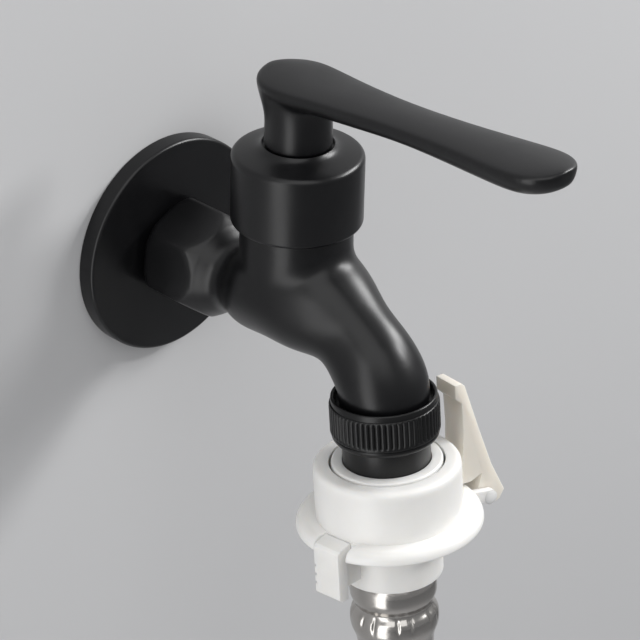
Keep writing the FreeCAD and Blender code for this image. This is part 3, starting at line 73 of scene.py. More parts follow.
to_metres = Matrix.Diagonal((MM, MM, MM, 1.0))
at_valve = to_metres @ Matrix.Translation((0, -VALVE_REACH, 0))
at_nozzle = (
    to_metres
    @ Matrix.Translation((0, -NOZZLE_REACH, 0))
    @ Matrix.Rotation(-NOZZLE_TILT, 4, "X")
)
at_connector = at_nozzle @ Matrix.Rotation(-CONNECTOR_TURN, 4, "Z")
print("connector axis leans", round(math.degrees(NOZZLE_TILT), 2), "degrees")

# %% [markdown]
# ## Finishes
#
# The tap wears a satin black coating with a very fine orange-peel, so its highlights are broad
# and soft. A noise in object coordinates drives a weak bump and a slight change of gloss, which
# keeps large faces from looking like flat plastic. Numbers that are the same everywhere stay on
# the shader's own sockets, so that they survive an export.


# %% A helper for finishes
def new_finish(name, colour, metallic, roughness, **inputs):
    """A principled material with its constants set on the shader itself."""
    finish = bpy.data.materials.new(name)
    finish.use_nodes = True
    shader = finish.node_tree.nodes["Principled BSDF"]
    shader.inputs["Base Color"].default_value = (*colour, 1)
    shader.inputs["Metallic"].default_value = metallic
    shader.inputs["Roughness"].default_value = roughness
    for socket, value in inputs.items():
        shader.inputs[socket.replace("_", " ")].default_value = value
    return finish, finish.node_tree, shader


def noise_of(tree, scale, detail=3.0, stretch=None):
    """Noise in object coordinates, stretched where a finish has a direction to it."""
    place = tree.nodes.new("ShaderNodeTexCoord")
    noise = tree.nodes.new("ShaderNodeTexNoise")
    noise.inputs["Scale"].default_value = scale
    noise.inputs["Detail"].default_value = detail
    source = place.outputs["Object"]
    if stretch is not None:
        mapping = tree.nodes.new("ShaderNodeMapping")
        mapping.inputs["Scale"].default_value = stretch
        tree.links.new(source, mapping.inputs["Vector"])
        source = mapping.outputs["Vector"]
    tree.links.new(source, noise.inputs["Vector"])
    return noise.outputs["Fac"]


NOISE_LOW, NOISE_HIGH = 0.3, 0.7  # nearly all noise values lie between these


def spread(tree, value, low, high):
    """Maps a noise value between two limits."""
    ramp = tree.nodes.new("ShaderNodeMapRange")
    ramp.inputs["From Min"].default_value = NOISE_LOW
    ramp.inputs["From Max"].default_value = NOISE_HIGH
    ramp.inputs["To Min"].default_value = low
    ramp.inputs["To Max"].default_value = high
    tree.links.new(value, ramp.inputs["Value"])
    return ramp.outputs["Result"]


def tinted(tree, shader, value, first, second):
    """Lets a noise value mix two close colours."""
    mix = tree.nodes.new("ShaderNodeMix")
    mix.data_type = "RGBA"
    mix.inputs["A"].default_value = (*first, 1)
    mix.inputs["B"].default_value = (*second, 1)
    tree.links.new(value, mix.inputs["Factor"])
    tree.links.new(mix.outputs["Result"], shader.inputs["Base Color"])


def embossed(tree, shader, value, depth, strength):
    """A bump of a real depth in metres."""
    bump = tree.nodes.new("ShaderNodeBump")
    bump.inputs["Distance"].default_value = depth
    bump.inputs["Strength"].default_value = strength
    tree.links.new(value, bump.inputs["Height"])
    tree.links.new(bump.outputs["Normal"], shader.inputs["Normal"])


# %% Satin black coating
def satin_black(name, colour, roughness):
    """A black coating whose gloss and shade drift a little, with a very fine orange-peel."""
    finish, tree, shader = new_finish(name, colour, 0.0, roughness, Specular_IOR_Level=0.4)
    paler = tuple(1.25 * part for part in colour)
    cloud = noise_of(tree, 90)
    tinted(tree, shader, spread(tree, cloud, 0, 1), colour, paler)
    tree.links.new(spread(tree, cloud, roughness - 0.03, roughness + 0.04),
                   shader.inputs["Roughness"])
    embossed(tree, shader, noise_of(tree, 2600, 2.0), 0.00002, 0.35)
    return finish


black_coating = satin_black("black_coating", (0.003, 0.003, 0.0035), 0.33)
black_nozzle = satin_black("black_nozzle", (0.003, 0.003, 0.0032), 0.33)
print("finishes:", black_coating.name, black_nozzle.name)


# %% [markdown]
# The connector is moulded in milky plastic, the hook in a warmer one. A little light goes into
# such plastic and softens the shadows on it, which is what subsurface scattering adds.

# %% Milky plastics
def milky(name, colour, roughness, depth):
    """A moulded plastic that lets light a few millimetres in."""
    finish, tree, shader = new_finish(name, colour, 0.0, roughness)
    shader.inputs["Subsurface Weight"].default_value = 0.3
    shader.inputs["Subsurface Radius"].default_value = (1.0, 0.9, 0.75)
    shader.inputs["Subsurface Scale"].default_value = depth
    darker = tuple(0.965 * part for part in colour)
    cloud = noise_of(tree, 120, 4.0)
    tinted(tree, shader, spread(tree, cloud, 0, 1), colour, darker)
    tree.links.new(spread(tree, noise_of(tree, 340), roughness - 0.05, roughness + 0.06),
                   shader.inputs["Roughness"])
    embossed(tree, shader, noise_of(tree, 1500, 2.0), 0.00002, 0.4)
    return finish


white_plastic = milky("white_plastic", (0.86, 0.85, 0.825), 0.36, 0.0025)
cream_plastic = milky("cream_plastic", (0.88, 0.83, 0.745), 0.4, 0.0025)
print("finishes:", white_plastic.name, cream_plastic.name)


# %% [markdown]
# Bright metal shows little colour of its own and mostly reflects the room. The noise is stretched
# so that its grains turn into fine lines. Rubber and ceramic only need an even grain, because
# they sit inside the tap.

# %% Metals, rubber and ceramic
def bright_metal(name, colour, roughness, stretch):
    """A metal with fine lines, as turning and polishing leave them."""
    finish, tree, shader = new_finish(name, colour, 1.0, roughness)
    lines = noise_of(tree, 400, 2.0, stretch)
    tree.links.new(spread(tree, lines, roughness - 0.04, roughness + 0.06),
                   shader.inputs["Roughness"])
    embossed(tree, shader, lines, 0.000005, 0.3)
    return finish


stainless = bright_metal("stainless", (0.5, 0.48, 0.455), 0.21, (1, 1, 4))
steel = bright_metal("steel", (0.56, 0.56, 0.57), 0.24, (2, 2, 6))
brass = bright_metal("brass", (0.72, 0.52, 0.23), 0.27, (1, 1, 8))


def matte(name, colour, roughness, grain, depth):
    """A finish with an even grain, for rubber and for the valve's discs."""
    finish, tree, shader = new_finish(name, colour, 0.0, roughness)
    embossed(tree, shader, noise_of(tree, grain), depth, 0.5)
    cloud = noise_of(tree, grain / 8)
    darker = tuple(0.85 * part for part in colour)
    tinted(tree, shader, spread(tree, cloud, 0, 1), colour, darker)
    return finish


rubber = matte("rubber", (0.018, 0.018, 0.018), 0.75, 1800, 0.00003)
ceramic_disc = matte("ceramic_disc", (0.78, 0.78, 0.75), 0.18, 900, 0.000004)
FINISHES = {
    "black_coating": black_coating,
    "black_nozzle": black_nozzle,
    "white_plastic": white_plastic,
    "cream_plastic": cream_plastic,
    "stainless": stainless,
    "steel": steel,
    "brass": brass,
    "rubber": rubber,
    "ceramic_disc": ceramic_disc,
}
print("finishes in all:", len(FINISHES))

# %% [markdown]
# ## Finishes on the ready-made pieces
#
# Every ready-made piece gets its finish first, by the slot that the record names for it. The ones
# inside the tap, such as the valve, the seals and the balls, have the right shape already and stay
# as they are. The outer ones and the spring are made again further down.

# %% Give every ready-made piece its finish
SLOT_OF = {row["node"]: row["material_slot"] for row in frame["record"]["subparts"]}
for name, node in frame["nodes"].items():
    node.data.materials.clear()
    node.data.materials.append(FINISHES[SLOT_OF[name]])
print("dressed", len(SLOT_OF), "ready-made pieces")

# %% [markdown]
# ## Making pieces
#
# The ready-made solids have perfectly sharp edges. On the real tap every edge has a small round
# from casting, moulding or polishing, and that round is what catches the light. So each visible
# piece is made again here: some from a copy of the solid with rounded edges, and the ones whose
# shape matters most from rings and profiles of their own. All are made in millimetres, the latter
# upright round their own axis. A matrix puts each in its place inside its mesh, and its object
# stays at the origin.


# %% From a shape to a piece of the tap
def piece_of(shape, name, place, slot, body, replaced, crisp=38):
    """Puts a shape in its place and hands it to the frame as a piece."""
    bmesh.ops.remove_doubles(shape, verts=shape.verts, dist=MERGE_DISTANCE)
    bmesh.ops.recalc_face_normals(shape, faces=shape.faces)
    shape.transform(place)
    mesh = bpy.data.meshes.new(name)
    shape.to_mesh(mesh)
    shape.free()
    mesh.shade_smooth()
    mesh.set_sharp_from_angle(angle=math.radians(crisp))
    piece = bpy.data.objects.new(name, mesh)
    bpy.context.scene.collection.objects.link(piece)
    mesh.materials.append(FINISHES[slot])
    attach(piece, body)
    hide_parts(*replaced)
    print(name, "has", len(mesh.polygons), "faces")
    return piece


# %% Run modifiers over a shape
def settled(shape, *steps):
    """Gives a shape through modifiers, each a kind and its settings, and returns the result."""
    mesh = bpy.data.meshes.new("work")
    shape.to_mesh(mesh)
    shape.free()
    holder = bpy.data.objects.new("work", mesh)
    bpy.context.scene.collection.objects.link(holder)
    for kind, settings in steps:
        modifier = holder.modifiers.new(kind, kind)
        for setting, value in settings.items():
            setattr(modifier, setting, value)
    seen = holder.evaluated_get(bpy.context.evaluated_depsgraph_get())
    result = bmesh.new()
    result.from_mesh(seen.to_mesh())
    bpy.data.objects.remove(holder)
    bpy.data.meshes.remove(mesh)
    return result


def finer(levels):
    """The settings of a subdivision surface."""
    return ("SUBSURF", {"levels": levels, "render_levels": levels})


def smoothed(shape, verts, rounds):
    """Smooths a few points of a shape, again and again."""
    for _ in range(rounds):
        bmesh.ops.smooth_vert(shape, verts=verts, factor=0.5, use_axis_x=True, use_axis_y=True,
                              use_axis_z=True)


def cut_from(shape, cutters):
    """Cuts shapes out of a shape, one after the other."""
    for cutter in cutters:
        mesh = bpy.data.meshes.new("cutter")
        cutter.to_mesh(mesh)
        cutter.free()
        tool = bpy.data.objects.new("cutter", mesh)
        bpy.context.scene.collection.objects.link(tool)
        shape = settled(shape, ("BOOLEAN", {"operation": "DIFFERENCE", "object": tool,
                                            "solver": "EXACT"}))
        bpy.data.objects.remove(tool)
        bpy.data.meshes.remove(mesh)
    return shape


# %% Round the edges of a ready-made solid
FLAT_ANGLE = math.radians(0.6)
SHARP_ANGLE = math.radians(30)


def softened(node_name, width):
    """A copy of a ready-made solid, in millimetres, whose sharp edges get a small round."""
    shape = bmesh.new()
    shape.from_mesh(frame["nodes"][node_name].data)
    shape.transform(to_metres.inverted())
    bmesh.ops.remove_doubles(shape, verts=shape.verts, dist=MERGE_DISTANCE)
    bmesh.ops.dissolve_limit(shape, angle_limit=FLAT_ANGLE, verts=shape.verts,
                             edges=shape.edges, delimit={"NORMAL"})
    sharp = [edge for edge in shape.edges
             if len(edge.link_faces) == 2 and edge.calc_face_angle() > SHARP_ANGLE]
    bmesh.ops.bevel(shape, geom=sharp, offset=width, offset_type="OFFSET", affect="EDGES",
                    segments=3, profile=0.5, material=-1, clamp_overlap=True, miter_outer="ARC")
    return shape


# %% Turn a profile, or carry an outline along
def turned(profile, steps):
    """Spins a closed outline of radii and heights once round the upright axis."""
    shape = bmesh.new()
    corners = [shape.verts.new((radius, 0, height)) for radius, height in profile]
    sides = [shape.edges.new(pair) for pair in zip(corners, corners[1:] + corners[:1])]
    bmesh.ops.spin(shape, geom=corners + sides, cent=(0, 0, 0), axis=(0, 0, 1),
                   angle=math.tau, steps=steps, use_merge=True)
    bmesh.ops.remove_doubles(shape, verts=shape.verts, dist=MERGE_DISTANCE)
    return shape


def carried(outline, places):
    """Carries a closed outline from place to place and closes both ends."""
    shape = bmesh.new()
    corners = [shape.verts.new(corner) for corner in outline]
    ring = [shape.edges.new(pair) for pair in zip(corners, corners[1:] + corners[:1])]
    bmesh.ops.transform(shape, matrix=places[0], verts=corners)
    bmesh.ops.contextual_create(shape, geom=ring)
    for before, after in zip(places, places[1:]):
        grown = bmesh.ops.extrude_edge_only(shape, edges=ring)["geom"]
        ring = [part for part in grown if isinstance(part, bmesh.types.BMEdge)]
        moved = [part for part in grown if isinstance(part, bmesh.types.BMVert)]
        bmesh.ops.transform(shape, matrix=after @ before.inverted(), verts=moved)
    bmesh.ops.contextual_create(shape, geom=ring)
    return shape


# %% [markdown]
# ## The lever
#
# The lever and its round stem are one casting, so a seam between them would look wrong: the real
# one has a hollow curve there. The blade is a cage of rings, carried along the lever and scaled
# to its head, waist, paddle and tip, and a subdivision surface makes it smooth. The stem is a
# second cage. A voxel remesh melts both into one skin, and smoothing gives the edges the soft
# radius of a coated casting.

# %% The blade's rings
# reach from the valve's axis, half width, height of the side edge and thickness
BLADE = [
    (-10.6, 1.1, 64.8, 3.1), (-10.35, 2.7, 64.8, 3.5), (-9.75, 4.5, 64.8, 4.2),
    (-8.7, 6.25, 64.8, 4.8), (-7.2, 7.95, 64.75, 5.2), (-5.3, 9.35, 64.7, 5.55),
    (-2.9, 10.35, 64.65, 5.85), (0.3, 10.7, 64.6, 6.0), (4.2, 10.35, 64.7, 5.6),
    (8.5, 9.75, 64.9, 5.2), (15.0, 8.85, 65.2, 5.0), (22.8, 8.07, 65.6, 4.9),
    (30.0, 7.5, 66.05, 4.8), (38.0, 7.18, 66.6, 4.75), (47.0, 7.32, 67.2, 5.05),
    (56.0, 7.78, 67.8, 5.5), (65.0, 8.6, 68.4, 5.85), (71.0, 9.15, 68.8, 6.0),
    (75.5, 9.4, 69.1, 6.0), (78.9, 9.1, 69.35, 5.75), (81.5, 8.25, 69.55, 5.3),
    (83.6, 6.95, 69.7, 4.75), (85.1, 5.35, 69.8, 4.1), (86.0, 3.7, 69.85, 3.5),
    (86.4, 2.2, 69.9, 2.9), (86.5, 0.8, 69.9, 2.4),
]
HALF_RING = [(0.0, 0.205), (0.3, 0.19), (0.6, 0.14), (0.84, 0.065), (0.97, 0.005),
             (1.0, -0.09), (0.975, -0.33), (0.9, -0.62), (0.77, -0.85), (0.58, -0.985),
             (0.32, -1.04), (0.0, -1.05)]
EDGE_LOSS = 0.15  # what the smoothing takes off an edge
TOP_DROP = 0.06  # how much lower the rings sit, so that the top stays at the solid's height
blade_ring = [(x, 0, z) for x, z in HALF_RING] + [(-x, 0, z) for x, z in HALF_RING[-2:0:-1]]
blade_places = [
    Matrix.Translation((0, -reach, height - TOP_DROP))
    @ Matrix.Diagonal((half + EDGE_LOSS, 1, thickness + EDGE_LOSS, 1))
    for reach, half, height, thickness in BLADE
]
blade = settled(carried(blade_ring, blade_places), finer(3))
print("blade:", len(blade.faces), "faces")

# %% The stem's rings, from the foot up into the hollow curve
# radius, lean towards the wall and height
STEM = [
    (8.4, 0.0, 46.2), (8.66, 0.0, 46.25), (8.74, 0.0, 46.5), (8.74, 0.0, 47.1),
    (8.72, 0.0, 48.0), (8.7, 0.0, 49.0), (8.66, 0.0, 50.2), (8.6, 0.0, 51.8), (8.6, 0.05, 53.6),
    (8.7, 0.15, 55.2), (8.95, 0.3, 57.0), (9.35, 0.45, 58.8), (9.8, 0.5, 60.6),
    (10.25, 0.4, 62.2), (10.45, 0.2, 63.6), (9.9, 0.0, 64.4),
]
SIDES = 48
stem_ring = [(math.cos(math.tau * i / SIDES), math.sin(math.tau * i / SIDES), 0)
             for i in range(SIDES)]
stem_places = [
    Matrix.Translation((0, lean, height)) @ Matrix.Diagonal((radius, radius, 1, 1))
    for radius, lean, height in STEM
]
stem = settled(carried(stem_ring, stem_places), finer(2))
print("stem:", len(stem.faces), "faces")

# %% Melt the blade and the stem into one skin
LEVER_VOXEL = 0.36
JOINT_LOW, JOINT_HIGH = 56.5, 61.5
JOINT_CENTRE = Vector((0, 1))
JOINT_RADIUS = 13
JOINT_ROUNDS = 16
stem_mesh = bpy.data.meshes.new("stem")
stem.to_mesh(stem_mesh)
stem.free()
blade.from_mesh(stem_mesh)
bpy.data.meshes.remove(stem_mesh)
bmesh.ops.recalc_face_normals(blade, faces=blade.faces)
lever = settled(
    blade,
    ("REMESH", {"mode": "VOXEL", "voxel_size": LEVER_VOXEL}),
    ("SMOOTH", {"factor": 0.5, "iterations": 14}),
)
joint_zone = [
    vert for vert in lever.verts
    if JOINT_LOW < vert.co.z < JOINT_HIGH and (vert.co.xy - JOINT_CENTRE).length < JOINT_RADIUS
]
smoothed(lever, joint_zone, JOINT_ROUNDS)
print("lever skin:", len(lever.faces), "faces")

# %% Cut the spindle's socket and the screw's hole
SOCKET = [(0, 40), (7.5, 40), (7.5, 47.4), (4.05, 47.4), (4.05, 57.0), (0, 57.0)]
SCREW_RADIUS = 2.0
SCREW_REACH = 12
SCREW_PLACE = Vector((0, 8, 51.5))
socket = turned(SOCKET, 96)
screw_hole = bmesh.new()
bmesh.ops.create_cone(
    screw_hole, cap_ends=True, segments=64, radius1=SCREW_RADIUS, radius2=SCREW_RADIUS,
    depth=SCREW_REACH,
    matrix=Matrix.Translation(SCREW_PLACE) @ Matrix.Rotation(math.pi / 2, 4, "X"),
)
lever = cut_from(lever, [socket, screw_hole])
piece_of(lever, "lever", at_valve, "black_coating", "handle", ["lever_handle"])


# %% [markdown]
# ## The knurled nozzle
#
# The nozzle is turned from bar and knurled, so a spin of its profile gives everything but the
# knurl. The ridges could be cut out one by one, but that is slow and leaves long thin faces. So
# the spin has ten steps for each ridge, and the points of the knurled band are moved inwards
# between the ridges. These end round at the top, where the cutter leaves the metal.

# %% The nozzle's profile, of radii and heights
RIDGES = 60
CROWN = [(14.2 - 0.5 * (1 - math.sin(math.pi / 12 * step)),
          -14.3 - 0.9 * (1 - math.cos(math.pi / 12 * step))) for step in range(7)]
BAND = [(14.2, -15.5 - 0.7 * step) for step in range(9)]
NOZZLE = (
    [(12.55, -13.7), (12.7, -13.1), (12.98, -12.72), (13.3, -12.6), (13.56, -12.68),
     (13.68, -12.95), (13.68, -14.1)]
    + CROWN + BAND
    + [(14.2, -21.5), (14.2, -21.75), (14.2, -21.95), (14.2, -22.25), (14.15, -22.4),
       (13.7, -22.42), (13.7, -22.88), (13.85, -22.9), (13.9, -23.05), (13.9, -23.3),
       (13.8, -23.8), (13.5, -24.22), (13.05, -24.5), (12.6, -24.6), (11.75, -24.6),
       (11.45, -24.75), (11.4, -25.1), (11.4, -37.0), (10.4, -37.8), (10.4, -40.2),
       (11.4, -41.0), (11.4, -41.3), (10.5, -42.3), (10.4, -42.6), (10.4, -50.4), (10.1, -50.8),
       (6.2, -50.8), (6.0, -50.6), (6.0, -22.6), (10.54, -22.6), (10.54, -15.0), (12.55, -15.0)]
)
print("nozzle profile:", len(NOZZLE), "points")

# %% Spin the nozzle and press its knurl
KNURL_TOP, KNURL_FOOT = -14.5, -21.9
KNURL_DEPTH = 0.42
KNURL_INSIDE = 13.6  # what lies further in isn't knurled
KNURL_FLOOR = 13.58
RIDGE_FULLNESS = 0.7
TOP_RUN, FOOT_RUN = 0.9, 0.5  # heights over which a groove gets shallower

nozzle = turned(NOZZLE, RIDGES * 10)
for vert in nozzle.verts:
    height = vert.co.z
    radius = vert.co.xy.length
    if KNURL_FOOT < height < KNURL_TOP and radius > KNURL_INSIDE:
        turn = math.atan2(vert.co.y, vert.co.x)
        ridge = abs(math.cos(turn * RIDGES / 2)) ** RIDGE_FULLNESS
        ends = min(1, (KNURL_TOP - height) / TOP_RUN, (height - KNURL_FOOT) / FOOT_RUN)
        lower = max(KNURL_FLOOR, radius - KNURL_DEPTH * (1 - ridge) * math.sqrt(max(ends, 0)))
        vert.co.xy *= lower / radius
piece_of(nozzle, "nozzle", at_nozzle, "black_nozzle", "nozzle", ["hose_nozzle"], crisp=50)


# %% [markdown]
# ## The crimped sleeve
#
# A crimped sleeve is thin bright steel that seven dies have pressed on the hose. The two edges
# of each die bite in at the neck, and leave a pair of short creases. These could be sculpted, but
# a formula keeps all seven pairs alike. The sleeve is spun as a bare surface, the creases are made
# by moving its points, and a Solidify modifier then gives it the real wall.

# %% The sleeve's outline, of radii and heights
SLEEVE = [
    (6.75, -64.55), (9.7, -64.55), (10.35, -64.62), (10.62, -64.95), (10.8, -65.4),
    (11.15, -66.0), (11.42, -66.7), (11.5, -67.5), (11.52, -68.6), (11.5, -69.6),
    (11.36, -70.5), (11.0, -71.4), (10.5, -72.3), (10.22, -73.0), (10.2, -73.4),
    (10.35, -73.8), (10.6, -74.2), (10.9, -74.6), (11.2, -75.0), (11.42, -75.4),
    (11.57, -75.8), (11.66, -76.2), (11.72, -76.7), (11.74, -77.4),
    (11.72, -78.6), (11.58, -79.6), (11.2, -80.7), (10.7, -81.9), (10.3, -83.3),
    (10.08, -84.8), (10.05, -86.2), (10.12, -87.6), (10.25, -88.8), (10.3, -89.45),
]
print("sleeve outline:", len(SLEEVE), "points")

# %% Spin the sleeve, crease it and give it a wall
DIES = 7
DIE_EDGES = (math.radians(-122), math.radians(-103))
CREASE_WIDTH = 0.55
CREASE_DEPTH = 0.5
CREASE_HEIGHT = -75.6
CREASE_REACH = 2.2
SLEEVE_WALL = 0.6

sleeve = bmesh.new()
line = [sleeve.verts.new((radius, 0, height)) for radius, height in SLEEVE]
sides = [sleeve.edges.new(pair) for pair in zip(line, line[1:])]
bmesh.ops.spin(sleeve, geom=line + sides, cent=(0, 0, 0), axis=(0, 0, 1), angle=math.tau,
               steps=DIES * 48, use_merge=True)
bmesh.ops.remove_doubles(sleeve, verts=sleeve.verts, dist=MERGE_DISTANCE)
bmesh.ops.recalc_face_normals(sleeve, faces=sleeve.faces)
for vert in sleeve.verts:
    radius = vert.co.xy.length
    turn = math.atan2(vert.co.y, vert.co.x)
    along = max(0.0, 1 - ((vert.co.z - CREASE_HEIGHT) / CREASE_REACH) ** 2)
    for edge in DIE_EDGES:
        away = math.remainder(turn - edge, math.tau / DIES) * radius / CREASE_WIDTH
        vert.co.xy *= 1 - CREASE_DEPTH * along * math.exp(-away * away) / radius
sleeve = settled(sleeve, ("SOLIDIFY", {"thickness": SLEEVE_WALL, "offset": -1.0}), finer(1))
piece_of(sleeve, "crimped_sleeve", at_connector, "stainless", "coupler", ["hose_ferrule"])


# %% [markdown]
# ## The body
#
# The body is one brass casting, from the thread in the wall to the one under the spout. A bevel
# alone would leave creases where the neck meets the hexagon and the chamber. So the solid gets
# its rounded edges first, a voxel remesh then makes one even skin of it, and smoothing blends the
# forms, as sand casting and a thick coating do. The thread that hides in the wall is pressed in
# last, as a wave that climbs by one pitch in each turn.

# %% Make one soft skin of the body
BODY_VOXEL = 0.42
NECK_BACK, NECK_FRONT = -34, -24.5
NECK_RADIUS = 16
NECK_ROUNDS = 60
casting = settled(
    softened("tap_body", 0.5),
    ("REMESH", {"mode": "VOXEL", "voxel_size": BODY_VOXEL}),
    ("SMOOTH", {"factor": 0.5, "iterations": 22}),
)
neck = [
    vert for vert in casting.verts
    if NECK_BACK < vert.co.y < NECK_FRONT
    and (vert.co.x ** 2 + vert.co.z ** 2) ** 0.5 < NECK_RADIUS
]
smoothed(casting, neck, NECK_ROUNDS)
print("body skin:", len(casting.faces), "faces")

# %% Press the inlet's thread into it
THREAD_PITCH = 1.814
THREAD_DEPTH = 1.0
THREAD_START, THREAD_END = 0.4, 11.8
START_RUN, END_RUN = 0.8, 1.2  # lengths over which the thread gets shallower
THREAD_INSIDE = 9.8  # what lies further in isn't threaded
for vert in casting.verts:
    around = Vector((vert.co.x, vert.co.z))
    if THREAD_START < vert.co.y < THREAD_END and around.length > THREAD_INSIDE:
        turn = math.atan2(around.y, around.x) / math.tau
        wave = 0.5 + 0.5 * math.cos(math.tau * (vert.co.y / THREAD_PITCH - turn))
        ends = min(1, (vert.co.y - THREAD_START) / START_RUN, (THREAD_END - vert.co.y) / END_RUN)
        share = 1 - THREAD_DEPTH * wave * ends / around.length
        vert.co.x *= share
        vert.co.z *= share
piece_of(casting, "body_casting", to_metres, "black_coating", "tap", ["tap_body"])

# %% [markdown]
# ## The bonnet
#
# The bonnet is a round black cover over the valve, turned from bar, so it is spun from a profile.
# Its top isn't flat: it rises in a hollow curve round the foot of the stem, and that curve catches
# a bright thin arc of light.

# %% A helper for arcs, and the bonnet
def arc(centre, radius, first, last, count=9):
    """Points on an arc between two angles in degrees."""
    turns = [math.radians(first + (last - first) * step / (count - 1)) for step in range(count)]
    return [(centre[0] + radius * math.cos(turn), centre[1] + radius * math.sin(turn))
            for turn in turns]


BONNET = [
    (15.3, 24.95), *arc((15.9, 26.05), 1.1, -90, 0), *arc((15.3, 42.6), 1.7, 0, 78),
    (14.6, 44.5), (13.4, 44.76), (12.5, 44.95), (11.7, 45.15), (11.0, 45.38), (10.45, 45.64),
    (10.0, 45.95), (9.7, 46.25), (9.5, 46.5), *arc((9.27, 46.5), 0.19, 20, 180, 7),
    (9.08, 45.9), (7.2, 45.9), (7.2, 42.5), (15.3, 42.5),
]
piece_of(turned(BONNET, 256), "bonnet", at_valve, "black_coating", "tap", ["bonnet_cover"])

# %% [markdown]
# ## The wall cover
#
# The cover on the wall is a shallow cup, pressed from sheet, with a rolled rim. Rounding the
# edges of the ready-made solid leaves glints like dashes on the rim, because its facets are
# coarse. A profile spun in many steps gives one clean line of light.

# %% Spin the wall cover
COVER_RADIUS, COVER_DEPTH, COVER_WALL, COVER_ROLL = 30.0, 4.9, 1.0, 0.95
HOLE_RADIUS = 10.78
ROLL_STEPS = 8
rolled_rim = [
    (COVER_RADIUS - COVER_ROLL * (1 - math.cos(turn)),
     COVER_DEPTH - COVER_ROLL * (1 - math.sin(turn)))
    for turn in (math.pi / 2 * step / ROLL_STEPS for step in range(ROLL_STEPS + 1))
]
cover_profile = [
    (HOLE_RADIUS, COVER_DEPTH - COVER_WALL),
    (COVER_RADIUS - COVER_WALL, COVER_DEPTH - COVER_WALL),
    (COVER_RADIUS - COVER_WALL, 0), (COVER_RADIUS, 0), *rolled_rim, (HOLE_RADIUS, COVER_DEPTH),
]
on_wall = to_metres @ Matrix.Rotation(math.pi / 2, 4, "X")
piece_of(turned(cover_profile, 256), "wall_cover", on_wall, "black_coating", "tap",
         ["wall_flange"])

# %% [markdown]
# ## The white connector
#
# The connector's parts are moulded and have the right shape already, so a bevel gives them the
# small even round of a mould. It only takes edges sharper than thirty degrees, and leaves the
# facets of the round faces alone. The collar's mouth is rounded too evenly in the solid: on the
# real one the round is squarer, so its points move out along a squarer curve. The ends of the
# hook's pin lie under two small caps, which are flattened balls.

# %% The collar, with its squarer mouth
ROUND = 2.8
MOUTH_TOP = -31.7
WALL_RADIUS = 19.2
SQUARENESS = 3.4
JUST_PAST = 0.001
collar = softened("sliding_collar", 0.45)
upright = at_connector.inverted() @ to_metres
collar.transform(upright)
for vert in collar.verts:
    across = (vert.co.xy.length - (WALL_RADIUS - ROUND)) / ROUND
    along = (vert.co.z - (MOUTH_TOP - ROUND)) / ROUND
    if across > JUST_PAST and along > JUST_PAST:
        reach = (across ** SQUARENESS + along ** SQUARENESS) ** (1 / SQUARENESS)
        size = math.hypot(across, along) / reach
        vert.co.xy *= (WALL_RADIUS - ROUND + across * size * ROUND) / vert.co.xy.length
        vert.co.z = MOUTH_TOP - ROUND + along * size * ROUND
collar.transform(upright.inverted())
print("collar:", len(collar.faces), "faces")

# %% Caps over the ends of the hook's pin
PIN_REACH, PIN_HEIGHT, PIN_END = 28.3, -50.6, 6.2
CAP_RADIUS, CAP_HEIGHT = 1.95, 0.55
for side in (-1, 1):
    cap = (
        Matrix.Translation((PIN_REACH, PIN_END * side, PIN_HEIGHT))
        @ Matrix.Diagonal((CAP_RADIUS, CAP_HEIGHT, CAP_RADIUS, 1))
    )
    bmesh.ops.create_uvsphere(collar, u_segments=32, v_segments=16, radius=1.0,
                              matrix=to_metres.inverted() @ at_connector @ cap)
piece_of(collar, "collar", to_metres, "white_plastic", "collar", ["sliding_collar"])

# %% The lower body, the ball ring and the hook
piece_of(softened("coupler_body", 0.6), "coupler_shell", to_metres, "white_plastic", "coupler",
         ["coupler_body"])
piece_of(softened("ball_cage", 0.2), "ball_ring", to_metres, "white_plastic", "coupler",
         ["ball_cage"])
piece_of(softened("latch_lever", 0.8), "latch", to_metres, "cream_plastic", "latch",
         ["latch_lever"])

# %% [markdown]
# ## The collar's spring
#
# The spring sits between the connector's body and the sliding collar, and gets four millimetres
# shorter when the collar is pulled down. A rigid copy would poke through the collar there. Here
# the spring is a rigid copy of the ready-made one, with a mesh of its own.

# %% A rigid copy of the spring, with a mesh of its own
spring = bmesh.new()
spring.from_mesh(frame["nodes"]["collar_spring"].data)
spring.transform(at_connector.inverted())
bmesh.ops.remove_doubles(spring, verts=spring.verts, dist=MERGE_DISTANCE)
spring_piece = piece_of(spring, "spring", at_connector, "steel", "coupler", ["collar_spring"])
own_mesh(spring_piece)

# %% [markdown]
# ## Room, light and camera
#
# The tap hangs on a pale grey wall. The wall and the floor are large faces that can only be seen
# from the front, so that a look from behind shows the back of the tap and not the wall. Four
# lamps light it, softly, as in a studio: a key lamp high on the right, which draws the highlight
# down the spout; a small one beside it, for the shadow on the wall; a tall one low on the left,
# for the soft stripe on the bonnet; and a very wide one above. The camera looks from the front
# left and from above, through a long lens, as in the photograph.


# %% The pale wall and floor
def stage_finish(name, colour):
    """A plain pale surface that is clear from behind."""
    finish, tree, shader = new_finish(name, colour, 0.0, 0.9)
    clear = tree.nodes.new("ShaderNodeBsdfTransparent")
    side = tree.nodes.new("ShaderNodeNewGeometry")
    choose = tree.nodes.new("ShaderNodeMixShader")
    output = tree.nodes["Material Output"]
    tree.links.new(side.outputs["Backfacing"], choose.inputs["Fac"])
    tree.links.new(shader.outputs["BSDF"], choose.inputs[1])
    tree.links.new(clear.outputs["BSDF"], choose.inputs[2])
    tree.links.new(choose.outputs["Shader"], output.inputs["Surface"])
    return finish


